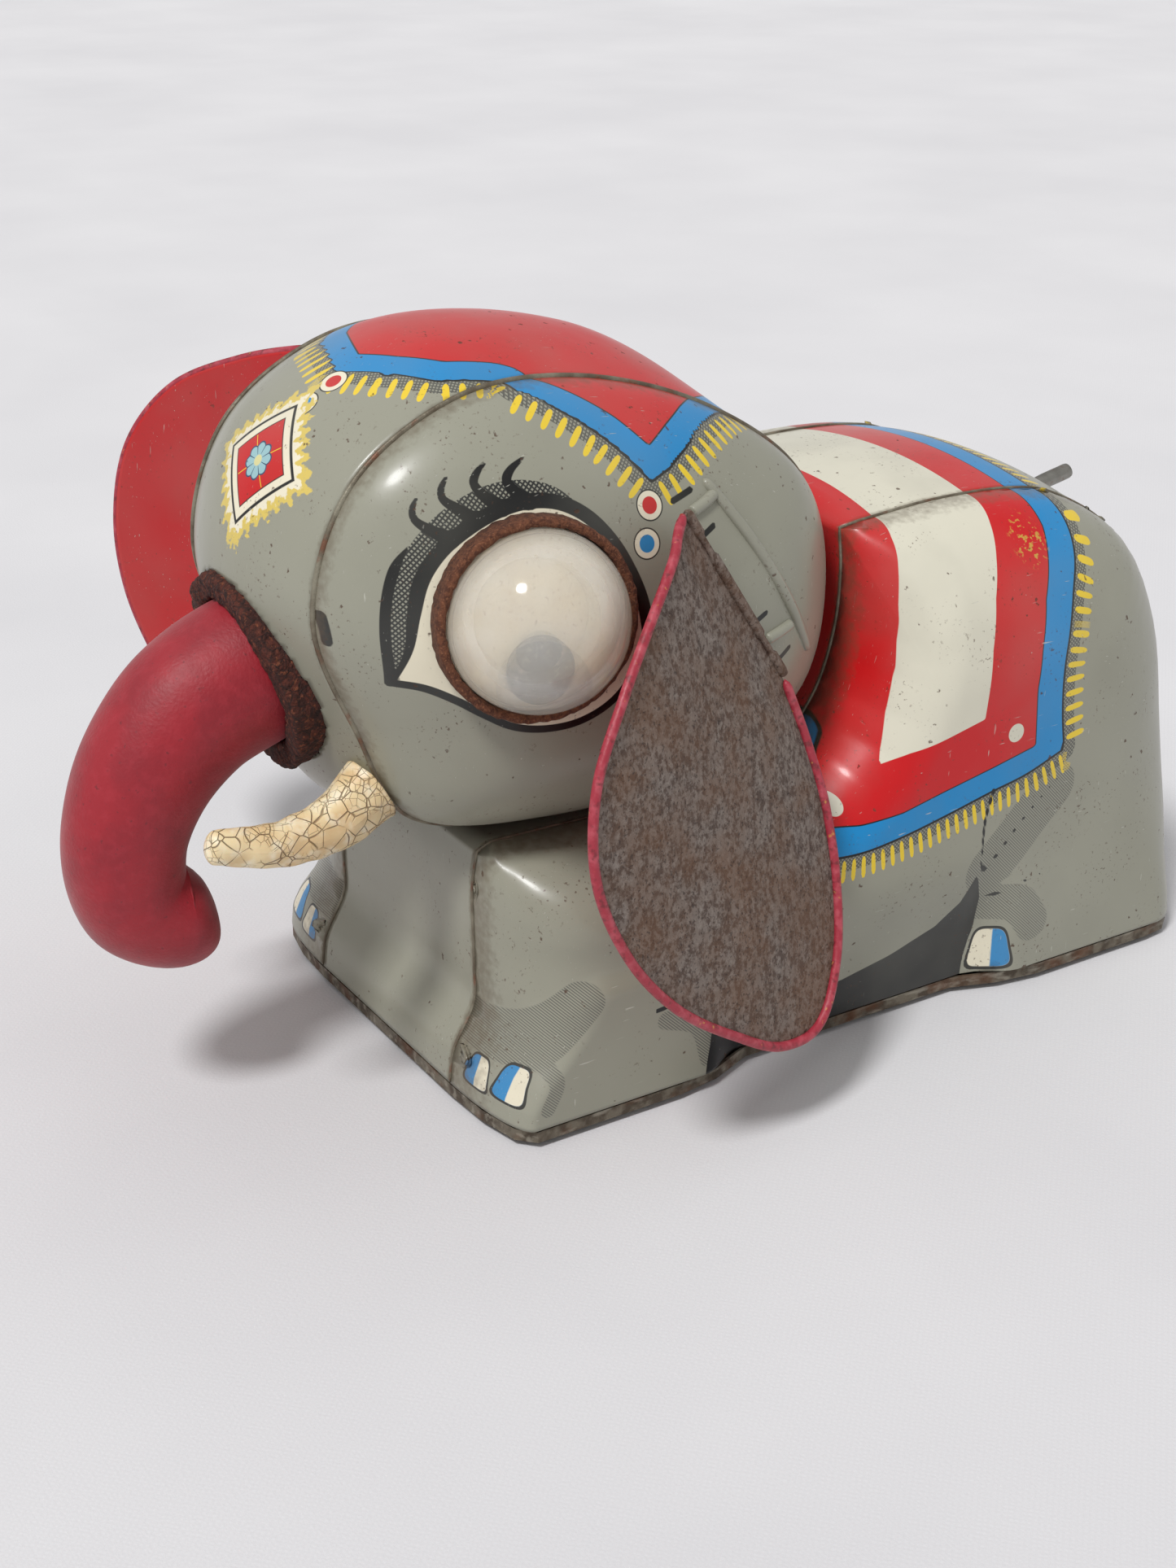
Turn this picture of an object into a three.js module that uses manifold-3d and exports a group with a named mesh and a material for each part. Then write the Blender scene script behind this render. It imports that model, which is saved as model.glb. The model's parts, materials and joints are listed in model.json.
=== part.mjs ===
// Wind up tin elephant. Millimetres, +Z up, front towards -Y, the elephant's left side towards +X.
// The origin is the middle of the base tray's underside.
import * as THREE from "three";
import { mergeVertices } from "three/addons/utils/BufferGeometryUtils.js";
import Module from "manifold-3d";

const wasm = await Module();
wasm.setup();

// ---- Driving dimensions ----
const gap = 0.3; // between pieces that touch
const tin = 0.5; // pressed tin
const runClear = 0.12; // round a shaft in its hole

const bodyLength = 134;
const bodyWidth = 78; // over the feet
const bodyHeight = 77;
const bodyStripWidth = 42;
const bodyCrown = 2; // of the strip over the back
const chestSetback = 4.6;
const chestHeight = 39.5;
const bellyRelief = 3.8;

const chestTight = 4; // rounding at the foot
const chestRound = 14;
const recessRound = 12;
const rumpTight = 10;
const backRound = 25;

const headLength = 82.4;
const headHeight = 63.4;
const headOverhang = 17.4; // in front of the body
const headBottom = 41.5;
const headWidth = 74;
const headStripWidth = 39;
const headCrown = 4.5;
const headClearance = 3.5; // between the back of the head and the body

const trayLip = 1.8;
const wheelDrop = 1; // how far the wheels stand below the tray

const eyeRadius = 13;
const eyeWall = 0.6;
const eyeRingWidth = 1.6;
const pupilRadius = 4.7;
const pupilThickness = 0.8;

const earHinge = 33.2; // along the hinge wire
const hingeWire = 0.7;
const hingeStandOff = 2.4; // of the wire above the head
const earSwing = { left: 20, right: 49 }; // degrees out from the head's side
const hingeSlope = { left: 57.4, right: 92 }; // degrees down from straight back
const strapLength = 3;

const trunkBase = 10.8;
const trunkEnd = 6.6;
const collarWidth = 3.6;
const collarThickness = 4;
const tuskBase = 4.4;

const plateGap = 17.2; // between the motor plates
const plateThickness = 0.8;
const gearModule = 0.8;
const greatTeeth = 40;
const pinionTeeth = 10;
const secondTeeth = 30;
const gearWidth = 1.2;
const arborRadius = 1.5;
const springTurns = 4;
const springBand = 9;

const rearWheelRadius = 10;
const frontWheelRadius = 7;
const wheelWidth = 4.5;
const rearTrack = 50;
const frontTrack = 44;
const rearAxleY = 106;
const frontAxleY = 39;
const camRadius = 3.5;
const camThrow = 1.7;
const nodDown = 4.5; // degrees

const leverWire = 1.3;
const keyWing = 11;
const keyShaft = 5;

// ---- Looks ----
const finish = (color, roughness, metalness) =>
  new THREE.MeshStandardMaterial({ color, roughness, metalness });
const greyTin = finish(0x8b9088, 0.35, 0.3);
const redTin = finish(0xa0101c, 0.35, 0.3);
const bareTin = finish(0x7d7468, 0.55, 0.8);
const steel = finish(0x8f8f8c, 0.4, 0.9);
const brass = finish(0xb08d4a, 0.4, 0.9);
const rubberRed = finish(0x8c1526, 0.6, 0);
const collarBrown = finish(0x4a2019, 0.9, 0);
const ivory = finish(0xd9c79c, 0.5, 0);
const clear = finish(0xe8dfc8, 0.1, 0);
const cream = finish(0xe6dcc0, 0.6, 0);
const darkGrey = finish(0x3c3c3c, 0.5, 0);

const X = new THREE.Vector3(1, 0, 0);
const Y = new THREE.Vector3(0, 1, 0);
const Z = new THREE.Vector3(0, 0, 1);
const vec = (x, y, z) => new THREE.Vector3(x, y, z);
const degrees = (angle) => (angle * Math.PI) / 180;
const lerp = (a, b, t) => a + (b - a) * t;
const smooth = (low, high, value) => THREE.MathUtils.smoothstep(value, low, high);

// Everything is placed from the body's front edge; the group moves the origin to the tray's middle.
const toy = new THREE.Group();
toy.position.y = -bodyLength / 2;
const part = new THREE.Group();
part.add(toy);

function piece(name, geometry, material, parent = toy) {
  const mesh = new THREE.Mesh(geometry, material);
  mesh.name = name;
  parent.add(mesh);
  return mesh;
}

// ---- Solids ----
function toSolid(geometry) {
  const bare = geometry.index ? geometry.toNonIndexed() : geometry.clone();
  bare.deleteAttribute("normal");
  bare.deleteAttribute("uv");
  const merged = mergeVertices(bare, 1e-4);
  return new wasm.Manifold(
    new wasm.Mesh({
      numProp: 3,
      vertProperties: merged.attributes.position.array,
      triVerts: new Uint32Array(merged.index.array),
    }),
  );
}

function toGeometry(solid) {
  const mesh = solid.getMesh();
  const geometry = new THREE.BufferGeometry();
  geometry.setAttribute("position", new THREE.BufferAttribute(mesh.vertProperties, 3));
  geometry.setIndex(new THREE.BufferAttribute(mesh.triVerts, 1));
  return geometry;
}

const cut = (geometry, ...cutters) =>
  toGeometry(cutters.reduce((solid, cutter) => solid.subtract(toSolid(cutter)), toSolid(geometry)));
const join = (geometry, ...others) =>
  toGeometry(others.reduce((solid, other) => solid.add(toSolid(other)), toSolid(geometry)));

// A closed solid of sheet metal. rows[i][j] are points on its outer face; the wall lies on the side of inside.
// ring joins the last column to the first, and pole closes the last row to one point.
function sheet(rows, wall, inside, { ring = false, pole = null } = {}) {
  const high = rows.length;
  const wide = rows[0].length;
  const wrap = (j) => (ring ? (j + wide) % wide : Math.min(Math.max(j, 0), wide - 1));
  const normalAt = (i, j) => {
    const along = rows[i][wrap(j + 1)].clone().sub(rows[i][wrap(j - 1)]);
    const after = i + 1 < high ? rows[i + 1][j] : pole || rows[i][j];
    const across = after.clone().sub(rows[Math.max(i - 1, 0)][j]);
    return along.cross(across).normalize();
  };
  const middleRow = Math.floor(high / 2);
  const middleColumn = Math.floor(wide / 2);
  const middle = rows[middleRow][middleColumn];
  const outward = middle.clone().sub(inside);
  const turn = Math.sign(normalAt(middleRow, middleColumn).dot(outward));
  const points = [];
  for (const depth of [0, wall]) {
    for (let i = 0; i < high; i++) {
      for (let j = 0; j < wide; j++) {
        points.push(rows[i][j].clone().addScaledVector(normalAt(i, j), -turn * depth));
      }
    }
  }
  const layer = high * wide;
  const at = (side, i, j) => side * layer + i * wide + wrap(j);
  const faces = [];
  const quad = (a, b, c, d) => {
    faces.push(turn > 0 ? [a, b, c] : [a, c, b]);
    faces.push(turn > 0 ? [a, c, d] : [a, d, c]);
  };
  const columns = ring ? wide : wide - 1;
  for (let i = 0; i + 1 < high; i++) {
    for (let j = 0; j < columns; j++) {
      quad(at(0, i, j), at(0, i, j + 1), at(0, i + 1, j + 1), at(0, i + 1, j));
      quad(at(1, i, j), at(1, i + 1, j), at(1, i + 1, j + 1), at(1, i, j + 1));
    }
  }
  for (let j = 0; j < columns; j++) {
    quad(at(0, 0, j), at(1, 0, j), at(1, 0, j + 1), at(0, 0, j + 1));
    if (!pole) quad(at(0, high - 1, j), at(0, high - 1, j + 1), at(1, high - 1, j + 1), at(1, high - 1, j));
  }
  const outerPole = points.length;
  if (pole) {
    const under = outward.clone().projectOnVector(X).normalize();
    points.push(pole, pole.clone().addScaledVector(under, -wall));
    const last = high - 1;
    for (let j = 0; j < columns; j++) {
      const outer = [at(0, last, j), at(0, last, j + 1), outerPole];
      const inner = [at(1, last, j), outerPole + 1, at(1, last, j + 1)];
      faces.push(turn > 0 ? outer : outer.reverse(), turn > 0 ? inner : inner.reverse());
    }
  }
  if (!ring) {
    for (let i = 0; i + 1 < high; i++) {
      quad(at(0, i, 0), at(0, i + 1, 0), at(1, i + 1, 0), at(1, i, 0));
      quad(at(0, i, wide - 1), at(1, i, wide - 1), at(1, i + 1, wide - 1), at(0, i + 1, wide - 1));
    }
    if (pole) {
      const last = high - 1;
      quad(at(0, last, 0), outerPole, outerPole + 1, at(1, last, 0));
      quad(at(0, last, wide - 1), at(1, last, wide - 1), outerPole + 1, outerPole);
    }
  }
  const geometry = new THREE.BufferGeometry().setFromPoints(points);
  geometry.setIndex(faces.flat());
  return geometry;
}

function turnedInside(geometry) {
  const index = [...geometry.index.array];
  for (let i = 0; i < index.length; i += 3) [index[i + 1], index[i + 2]] = [index[i + 2], index[i + 1]];
  geometry.setIndex(index);
  return geometry;
}

// A closed solid whose faces point outwards, whichever way round they are given.
function closedSolid(points, faces) {
  const geometry = new THREE.BufferGeometry().setFromPoints(points);
  geometry.setIndex(faces.flat());
  return toSolid(geometry).volume() > 0 ? geometry : turnedInside(geometry);
}

// A curve through [y, z] points, sampled evenly.
function curveThrough(points, steps, closed = false) {
  const curve = new THREE.CatmullRomCurve3(
    points.map(([y, z]) => vec(0, y, z)),
    closed,
    "centripetal",
  );
  const samples = curve.getSpacedPoints(steps).map((p) => [p.y, p.z]);
  return closed ? samples.slice(0, -1) : samples;
}

function circle(radius, sides) {
  const shape = new THREE.Shape();
  for (let k = 0; k < sides; k++) {
    const angle = (2 * Math.PI * k) / sides;
    const method = k ? "lineTo" : "moveTo";
    shape[method](radius * Math.cos(angle), radius * Math.sin(angle));
  }
  shape.closePath();
  return shape;
}

// A round wire or hose through the given points.
function tube(points, radius, steps, sides = 8) {
  const path = new THREE.CatmullRomCurve3(points, false, "centripetal");
  return new THREE.ExtrudeGeometry(circle(radius, sides), {
    steps,
    extrudePath: path,
    bevelEnabled: false,
  });
}

// A flat plate drawn in Y and Z, from x = low to x = high.
function plateAcross(shape, low, high) {
  const geometry = new THREE.ExtrudeGeometry(shape, { depth: high - low, bevelEnabled: false });
  geometry.applyMatrix4(new THREE.Matrix4().makeBasis(Y, Z, X));
  return geometry.translate(low, 0, 0);
}

// A block between two corners; the two x may be given either way round.
function box(oneX, otherX, lowY, highY, lowZ, highZ) {
  const geometry = new THREE.BoxGeometry(Math.abs(otherX - oneX), highY - lowY, highZ - lowZ);
  return geometry.translate((oneX + otherX) / 2, (lowY + highY) / 2, (lowZ + highZ) / 2);
}

// A shaft along X at the given y and z.
function shaft(radius, lowX, highX, y, z, sides = 16) {
  return plateAcross(circle(radius, sides), lowX, highX).translate(0, y, z);
}

// Turns a profile of [radius, height] points about an axis.
function turned(profile, segments, origin, axis) {
  const geometry = new THREE.LatheGeometry(
    profile.map(([radius, height]) => new THREE.Vector2(radius, height)),
    segments,
  );
  geometry.applyQuaternion(new THREE.Quaternion().setFromUnitVectors(Y, axis));
  return geometry.translate(origin.x, origin.y, origin.z);
}

// ---- Body ----
const bodyHalf = bodyStripWidth / 2;
const bodyBulge = bodyWidth / 2 - bodyHalf;
const shellBottom = trayLip + gap;
const deckHeight = headBottom - 2;
const headBack = headLength - headOverhang;
const recessBack = headBack + headClearance;

const chestLine = curveThrough(
  [
    [0, shellBottom],
    [0.8, shellBottom + 5.2],
    [chestSetback - 0.2, shellBottom + 12.3],
    [chestSetback, shellBottom + 18],
    [chestSetback, chestHeight - 6],
    [chestSetback + 0.8, chestHeight - 1],
  ],
  11,
);
const recessLine = curveThrough(
  [
    [chestSetback + 3, deckHeight],
    [recessBack - 24, deckHeight],
    [recessBack - 12, deckHeight + 2.6],
    [recessBack - 4.5, deckHeight + 10],
    [recessBack - 0.8, deckHeight + 20],
    [recessBack, bodyHeight - 8],
    [recessBack - 0.6, bodyHeight - 1.4],
  ],
  15,
);
const backLine = curveThrough(
  [
    [recessBack + 3, bodyHeight - 0.9],
    [bodyLength - 48, bodyHeight],
    [bodyLength - 33, bodyHeight - 0.7],
    [bodyLength - 25, bodyHeight - 2.6],
    [bodyLength - 12.5, bodyHeight - 10.4],
    [bodyLength - 5.5, bodyHeight - 23],
    [bodyLength - 2.2, bodyHeight - 38],
    [bodyLength - 0.7, bodyHeight - 55],
    [bodyLength - 1, shellBottom + 9],
    [bodyLength - 0.4, shellBottom + 4],
    [bodyLength, shellBottom],
  ],
  20,
);
const bodyLine = [...chestLine, ...recessLine, ...backLine];
const bodyCentre = [bodyLength - 44, shellBottom];

// The shortest way from a point to a line of [y, z] points.
function distanceTo(line, y, z) {
  let least = Infinity;
  for (let k = 0; k + 1 < line.length; k++) {
    const [startY, startZ] = line[k];
    const [alongY, alongZ] = [line[k + 1][0] - startY, line[k + 1][1] - startZ];
    const share = ((y - startY) * alongY + (z - startZ) * alongZ) / (alongY ** 2 + alongZ ** 2);
    const near = Math.min(Math.max(share, 0), 1);
    least = Math.min(least, Math.hypot(y - startY - near * alongY, z - startZ - near * alongZ));
  }
  return least;
}

// A quarter ellipse: 0 on the rim, 1 from the radius inwards.
const rounding = (distance, radius) => Math.sqrt(1 - Math.max(0, 1 - distance / radius) ** 2);

// The side panel is round at its rim: tight at the front foot, wide over the back.
function bodyRoundness(y, z) {
  const chest = rounding(distanceTo(chestLine, y, z), lerp(chestTight, chestRound, smooth(4, 26, z)));
  const recess = rounding(distanceTo(recessLine, y, z), recessRound);
  const back = rounding(distanceTo(backLine, y, z), lerp(rumpTight, backRound, smooth(4, 40, z)));
  return chest * recess * back;
}

function bodyDepth(y, z) {
  const betweenFeet = smooth(33, 42, y) * (1 - smooth(bodyLength - 49, bodyLength - 40, y));
  return bodyBulge - bellyRelief * betweenFeet * (1 - smooth(8, 26, z));
}

// The side panel, as rows of points from the rim towards the middle of its lower edge.
function bodySideRows(steps) {
  const rows = [];
  for (let i = 0; i < steps; i++) {
    const inward = (i / steps) ** 2.2;
    rows.push(
      bodyLine.map(([y, z]) => {
        const here = [lerp(y, bodyCentre[0], inward), lerp(z, bodyCentre[1], inward)];
        const roundness = i ? bodyRoundness(...here) : 0;
        return vec(bodyHalf + sideGap + bodyDepth(...here) * roundness, ...here);
      }),
    );
  }
  return rows;
}

const mirrorX = (rows) => rows.map((row) => row.map((p) => vec(-p.x, p.y, p.z)));

// A strip between two side panels, crowned across its width.
function stripBetween(line, half, crownAt, inside) {
  const across = 4;
  const rows = [];
  for (let i = 0; i <= across; i++) {
    const x = lerp(-half, half, i / across);
    rows.push(
      line.map(([y, z], j) => {
        const before = line[Math.max(j - 1, 0)];
        const after = line[Math.min(j + 1, line.length - 1)];
        const [alongY, alongZ] = [after[0] - before[0], after[1] - before[1]];
        const rise = (crownAt(y, z) * (1 - (x / half) ** 2)) / Math.hypot(alongY, alongZ);
        return vec(x, y - alongZ * rise, z + alongY * rise);
      }),
    );
  }
  return sheet(rows, tin, inside);
}

const sideGap = gap / 2;
const bodyRows = bodySideRows(7);
const panelPole = vec(bodyHalf + sideGap + bodyDepth(...bodyCentre), ...bodyCentre);
const bodyInside = vec(0, bodyCentre[0], 20);
const panelLeft = sheet(bodyRows, tin, bodyInside, { pole: panelPole });
const panelRight = sheet(mirrorX(bodyRows), tin, bodyInside, {
  pole: vec(-panelPole.x, panelPole.y, panelPole.z),
});

// ---- Clockwork places ----
const arborY = 90;
const arborZ = 38;
const rearAxleZ = rearWheelRadius - wheelDrop;
const frontAxleZ = frontWheelRadius - wheelDrop;
const pitchRadius = (teeth) => (teeth * gearModule) / 2;
const greatToSecond = pitchRadius(greatTeeth) + pitchRadius(pinionTeeth);
const secondToAxle = pitchRadius(secondTeeth) + pitchRadius(pinionTeeth);
// The second arbor stands where both pairs mesh.
const apart = Math.hypot(rearAxleY - arborY, rearAxleZ - arborZ);
const alongPair = (greatToSecond ** 2 - secondToAxle ** 2 + apart ** 2) / (2 * apart);
const besidePair = Math.sqrt(greatToSecond ** 2 - alongPair ** 2);
const unitY = (rearAxleY - arborY) / apart;
const unitZ = (rearAxleZ - arborZ) / apart;
const secondY = arborY + unitY * alongPair + unitZ * besidePair;
const secondZ = arborZ + unitZ * alongPair - unitY * besidePair;

const keyHole = shaft(arborRadius + 1, -bodyWidth, -bodyHalf - 5, arborY, arborZ);
piece("body_side_left", panelLeft, greyTin);
piece("body_side_right", cut(panelRight, keyHole), greyTin);

const leverPivot = vec(0, bodyLength - 24, bodyHeight - 24);
const leverExit = vec(0, bodyLength - 10.5, bodyHeight - 11);
const leverTip = vec(0, bodyLength - 0.7, bodyHeight - 8.3);
const leverPoints = [
  leverPivot.clone().add(vec(0, -7, -7)),
  leverPivot.clone().add(vec(0, -2, -2)),
  leverPivot.clone().add(vec(0, 5, 5)),
  leverExit,
  leverTip,
];
const leverSlot = new THREE.BoxGeometry(2 * leverWire + 1.6, 9, 8);
leverSlot.rotateX(degrees(-38));
leverSlot.translate(leverExit.x, leverExit.y, leverExit.z);

const neckY = 27;
const neckZ = headBottom + 6.5;
const neckSlotAt = (low, high) => box(-4.3, 4.3, neckY - 8, neckY + 14, low, high);
const neckSlot = neckSlotAt(deckHeight - 4, deckHeight + 4);
const crownAt = (y, z) => (y > recessBack && z > shellBottom + 8 ? bodyCrown : 0);
const stripBody = stripBetween(bodyLine, bodyHalf - sideGap, crownAt, bodyInside);
piece("body_centre_strip", cut(stripBody, neckSlot, leverSlot), greyTin);

// ---- Neck ----
const neckUpright = 5.5; // from the middle to each upright's inner face
const neckPin = 1.2;
const neckFoot = deckHeight + gap;
const neckBase = cut(
  box(-9, 9, neckY - 12, neckY + 16, neckFoot, neckFoot + tin),
  neckSlotAt(neckFoot - 1, neckFoot + 2),
);
const upright = (side) =>
  box(side * neckUpright, side * (neckUpright + tin), neckY - 5, neckY + 5, neckFoot, neckZ + 3);
const pinHole = shaft(neckPin + runClear, -9, 9, neckY, neckZ);
piece("neck_bracket", cut(join(neckBase, upright(1), upright(-1)), pinHole), steel);
piece("neck_pin", shaft(neckPin, -neckUpright - 2, neckUpright + 2, neckY, neckZ, 16), steel);

// ---- Base tray ----
const traySteps = 26;
// The outline of the panel's lower edge, mirrored to both sides, inset by the given amount.
function trayOutline(inset) {
  const edge = [];
  for (let k = 0; k <= traySteps; k++) {
    const y = (bodyLength * (1 - Math.cos((Math.PI * k) / traySteps))) / 2;
    const round = rounding(y, chestTight) * rounding(bodyLength - y, rumpTight);
    edge.push([bodyHalf + bodyDepth(y, 0) * round - inset, y]);
  }
  const low = edge[0][1] + inset;
  const high = edge[edge.length - 1][1] - inset;
  const kept = edge.map(([x, y]) => [x, Math.min(Math.max(y, low), high)]);
  const shape = new THREE.Shape();
  kept.forEach(([x, y], k) => (k ? shape.lineTo(x, y) : shape.moveTo(x, y)));
  kept.reverse().forEach(([x, y]) => shape.lineTo(-x, y));
  shape.closePath();
  return shape;
}

const extrudeUp = (shape, low, high) =>
  new THREE.ExtrudeGeometry(shape, { depth: high - low, bevelEnabled: false }).translate(0, 0, low);
const wheelWell = (radius, track, y, side) => {
  const middle = (side * track) / 2;
  const half = wheelWidth / 2 + 1;
  return box(middle - half, middle + half, y - radius - 1, y + radius + 1, -1, tin + 1);
};
const wells = [];
for (const side of [-1, 1]) {
  wells.push(wheelWell(rearWheelRadius, rearTrack, rearAxleY, side));
  wells.push(wheelWell(frontWheelRadius, frontTrack, frontAxleY, side));
}
const tray = extrudeUp(trayOutline(0), 0, trayLip);
const pocket = extrudeUp(trayOutline(tin), tin, trayLip + 1);
piece("base_tray", cut(tray, pocket, ...wells), bareTin);

// ---- Motor ----
const plateX = plateGap / 2;
const plateFront = arborY - 20;
const plateBack = rearAxleY + 8;
const plateBottom = tin + gap;
const plateTop = arborZ + 19;
function motorPlate(side) {
  const low = side > 0 ? plateX : -plateX - plateThickness;
  const blank = box(low, low + plateThickness, plateFront, plateBack, plateBottom, plateTop);
  const through = (radius, y, z) => shaft(radius + runClear, low - 1, low + plateThickness + 1, y, z);
  return cut(
    blank,
    through(arborRadius, arborY, arborZ),
    through(arborRadius, secondY, secondZ),
    through(arborRadius, rearAxleY, rearAxleZ),
  );
}
piece("motor_plate_left", motorPlate(1), steel);
piece("motor_plate_right", motorPlate(-1), steel);

const pillarInset = 3.5;
const pillarPlaces = [
  ["front_low", plateFront + pillarInset, plateBottom + pillarInset],
  ["front_high", plateFront + pillarInset, plateTop - pillarInset],
  ["rear_high", plateBack - pillarInset, arborZ + 5],
  ["rear_low", plateBack - pillarInset, rearAxleZ + 14],
];
for (const [place, y, z] of pillarPlaces) {
  piece(`motor_pillar_${place}`, shaft(1.8, -plateX + gap, plateX - gap, y, z, 10), steel);
}

// A spur gear drawn in Y and Z with straight-sided teeth; the first tooth points along phase.
function gearShape(teeth, phase) {
  const pitch = pitchRadius(teeth);
  const root = pitch - 1.15 * gearModule;
  const tip = pitch + 0.8 * gearModule;
  const step = (2 * Math.PI) / teeth;
  const corners = [
    [root, -0.3],
    [tip, -0.1],
    [tip, 0.1],
    [root, 0.3],
  ];
  const shape = new THREE.Shape();
  for (let k = 0; k < teeth; k++) {
    for (const [radius, share] of corners) {
      const angle = phase + (k + share) * step;
      const method = k === 0 && share === corners[0][1] ? "moveTo" : "lineTo";
      shape[method](radius * Math.cos(angle), radius * Math.sin(angle));
    }
  }
  shape.closePath();
  return shape;
}

const gearAt = (teeth, phase, x, y, z, width = gearWidth) =>
  plateAcross(gearShape(teeth, phase), x, x + width).translate(0, y, z);

const greatX = plateX - 3;
const secondX = -plateX + 1;
const lineToSecond = Math.atan2(secondZ - arborZ, secondY - arborY);
const lineToAxle = Math.atan2(rearAxleZ - secondZ, rearAxleY - secondY);
const halfTooth = (teeth) => Math.PI / teeth;
const keyEnd = -bodyWidth / 2 - 4;
const greatGear = join(
  gearAt(greatTeeth, lineToSecond, greatX, arborY, arborZ),
  shaft(3.4, greatX - 2, greatX + 0.5, arborY, arborZ, 12),
  shaft(arborRadius, keyEnd, plateX + plateThickness + 1, arborY, arborZ),
);
piece("great_gear_arbor", greatGear, brass);

const secondGear = join(
  gearAt(pinionTeeth, lineToSecond + Math.PI + halfTooth(pinionTeeth), greatX - 0.4, secondY, secondZ, 2),
  gearAt(secondTeeth, lineToAxle, secondX, secondY, secondZ),
  shaft(arborRadius, -plateX - plateThickness - 1, plateX + plateThickness + 1, secondY, secondZ),
);
piece("second_gear_arbor", secondGear, brass);

const rearAxle = join(
  gearAt(
    pinionTeeth,
    lineToAxle + Math.PI + halfTooth(pinionTeeth),
    secondX - 0.4,
    rearAxleY,
    rearAxleZ,
    2,
  ),
  shaft(arborRadius, -(rearTrack + wheelWidth) / 2, (rearTrack + wheelWidth) / 2, rearAxleY, rearAxleZ),
);
piece("rear_axle", rearAxle, steel);

// The mainspring is a flat band wound round the arbor, hooked on the front pillar side.
function springShape() {
  const inner = arborRadius + gap;
  const outer = pitchRadius(greatTeeth) - 2.5;
  const thick = 0.5;
  const steps = springTurns * 12;
  const side = (offset) => {
    const points = [];
    for (let k = 0; k <= steps; k++) {
      const radius = lerp(inner, outer, k / steps) + offset;
      const angle = (2 * Math.PI * springTurns * k) / steps;
      points.push([radius * Math.cos(angle), radius * Math.sin(angle)]);
    }
    return points;
  };
  const shape = new THREE.Shape();
  const loop = [...side(0), ...side(thick).reverse()];
  loop.forEach(([y, z], k) => (k ? shape.lineTo(y, z) : shape.moveTo(y, z)));
  shape.closePath();
  return shape;
}
const springX = secondX + gearWidth + 1.2;
const springEnd = greatX - 2 - gap;
const bandEnd = Math.min(springX + springBand, springEnd);
piece("mainspring", plateAcross(springShape(), springX, bandEnd).translate(0, arborY, arborZ), steel);

// ---- Wheels ----
function wheel(radius, y, z, track, side) {
  const middle = (side * track) / 2;
  const hub = (side > 0 ? middle - wheelWidth / 2 : middle + wheelWidth / 2) - side * 1.5;
  const tyre = shaft(radius, middle - wheelWidth / 2, middle + wheelWidth / 2, y, z, 24);
  const dishLow = side > 0 ? middle + 0.6 : middle - wheelWidth / 2 - 1;
  const dish = shaft(radius - 1.6, dishLow, dishLow + wheelWidth / 2 + 0.4, y, z, 20);
  const boss = shaft(2.8, Math.min(hub, middle), Math.max(hub, middle), y, z, 12);
  const bore = shaft(arborRadius + gap, middle - 10, middle + 10, y, z);
  return cut(join(cut(tyre, dish), boss), bore);
}
for (const [side, name] of [
  [1, "left"],
  [-1, "right"],
]) {
  piece(`rear_wheel_${name}`, wheel(rearWheelRadius, rearAxleY, rearAxleZ, rearTrack, side), steel);
  piece(`front_wheel_${name}`, wheel(frontWheelRadius, frontAxleY, frontAxleZ, frontTrack, side), steel);
}

// The cam is an eccentric on the front axle; its low side faces the head's lever at rest.
const frontAxle = join(
  shaft(arborRadius, -(frontTrack + wheelWidth) / 2, (frontTrack + wheelWidth) / 2, frontAxleY, frontAxleZ),
  shaft(camRadius, -2, 2, frontAxleY + camThrow, frontAxleZ, 20),
);
piece("front_axle_cam", frontAxle, steel);

// Each axle runs in a bent bracket on the tray.
function axleBracket(y, z, x) {
  const top = z + arborRadius + 2;
  const upright = box(x - tin, x + tin, y - 4, y + 4, plateBottom, top);
  const foot = box(x - 4, x + 4, y - 4, y + 4, plateBottom, plateBottom + tin);
  return cut(join(upright, foot), shaft(arborRadius + runClear, x - 2, x + 2, y, z));
}
for (const [side, name] of [
  [1, "left"],
  [-1, "right"],
]) {
  piece(`front_axle_bracket_${name}`, axleBracket(frontAxleY, frontAxleZ, side * 12), steel);
}

// ---- Key ----
const keyGroup = new THREE.Group();
keyGroup.position.set(0, arborY, arborZ);
toy.add(keyGroup);
const keyStart = -bodyWidth / 2 - 1;
const keyTip = keyStart - keyShaft;
const wingShape = new THREE.Shape();
wingShape.absellipse(0, 0, keyWing, keyWing * 0.62, 0, 2 * Math.PI);
const wing = new THREE.ExtrudeGeometry(wingShape, { depth: 1.4, bevelEnabled: false, curveSegments: 10 });
wing.translate(0, 0, -0.7);
wing.applyMatrix4(new THREE.Matrix4().makeBasis(Y, X, Z.clone().negate()));
wing.translate(keyTip - keyWing * 0.5, 0, 0);
const wingHole = (side) => box(keyTip - keyWing * 0.8, keyTip - 2, side * 6.5 - 2, side * 6.5 + 2, -2, 2);
const keySolid = join(
  cut(wing, wingHole(1), wingHole(-1)),
  shaft(2.6, keyTip - 3, keyStart, 0, 0, 12),
);
piece("winding_key", cut(keySolid, shaft(arborRadius + gap, keyEnd - gap, 0, 0, 0)), steel, keyGroup);

// ---- Start and stop lever ----
piece("start_stop_lever", tube(leverPoints, leverWire, 14), steel);
const leverStud = join(
  shaft(1.5, leverWire + gap, plateX - gap, leverPivot.y, leverPivot.z, 10),
  shaft(2.5, leverWire + gap, leverWire + gap + 1, leverPivot.y, leverPivot.z, 10),
);
piece("lever_stud", leverStud, steel);

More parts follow.
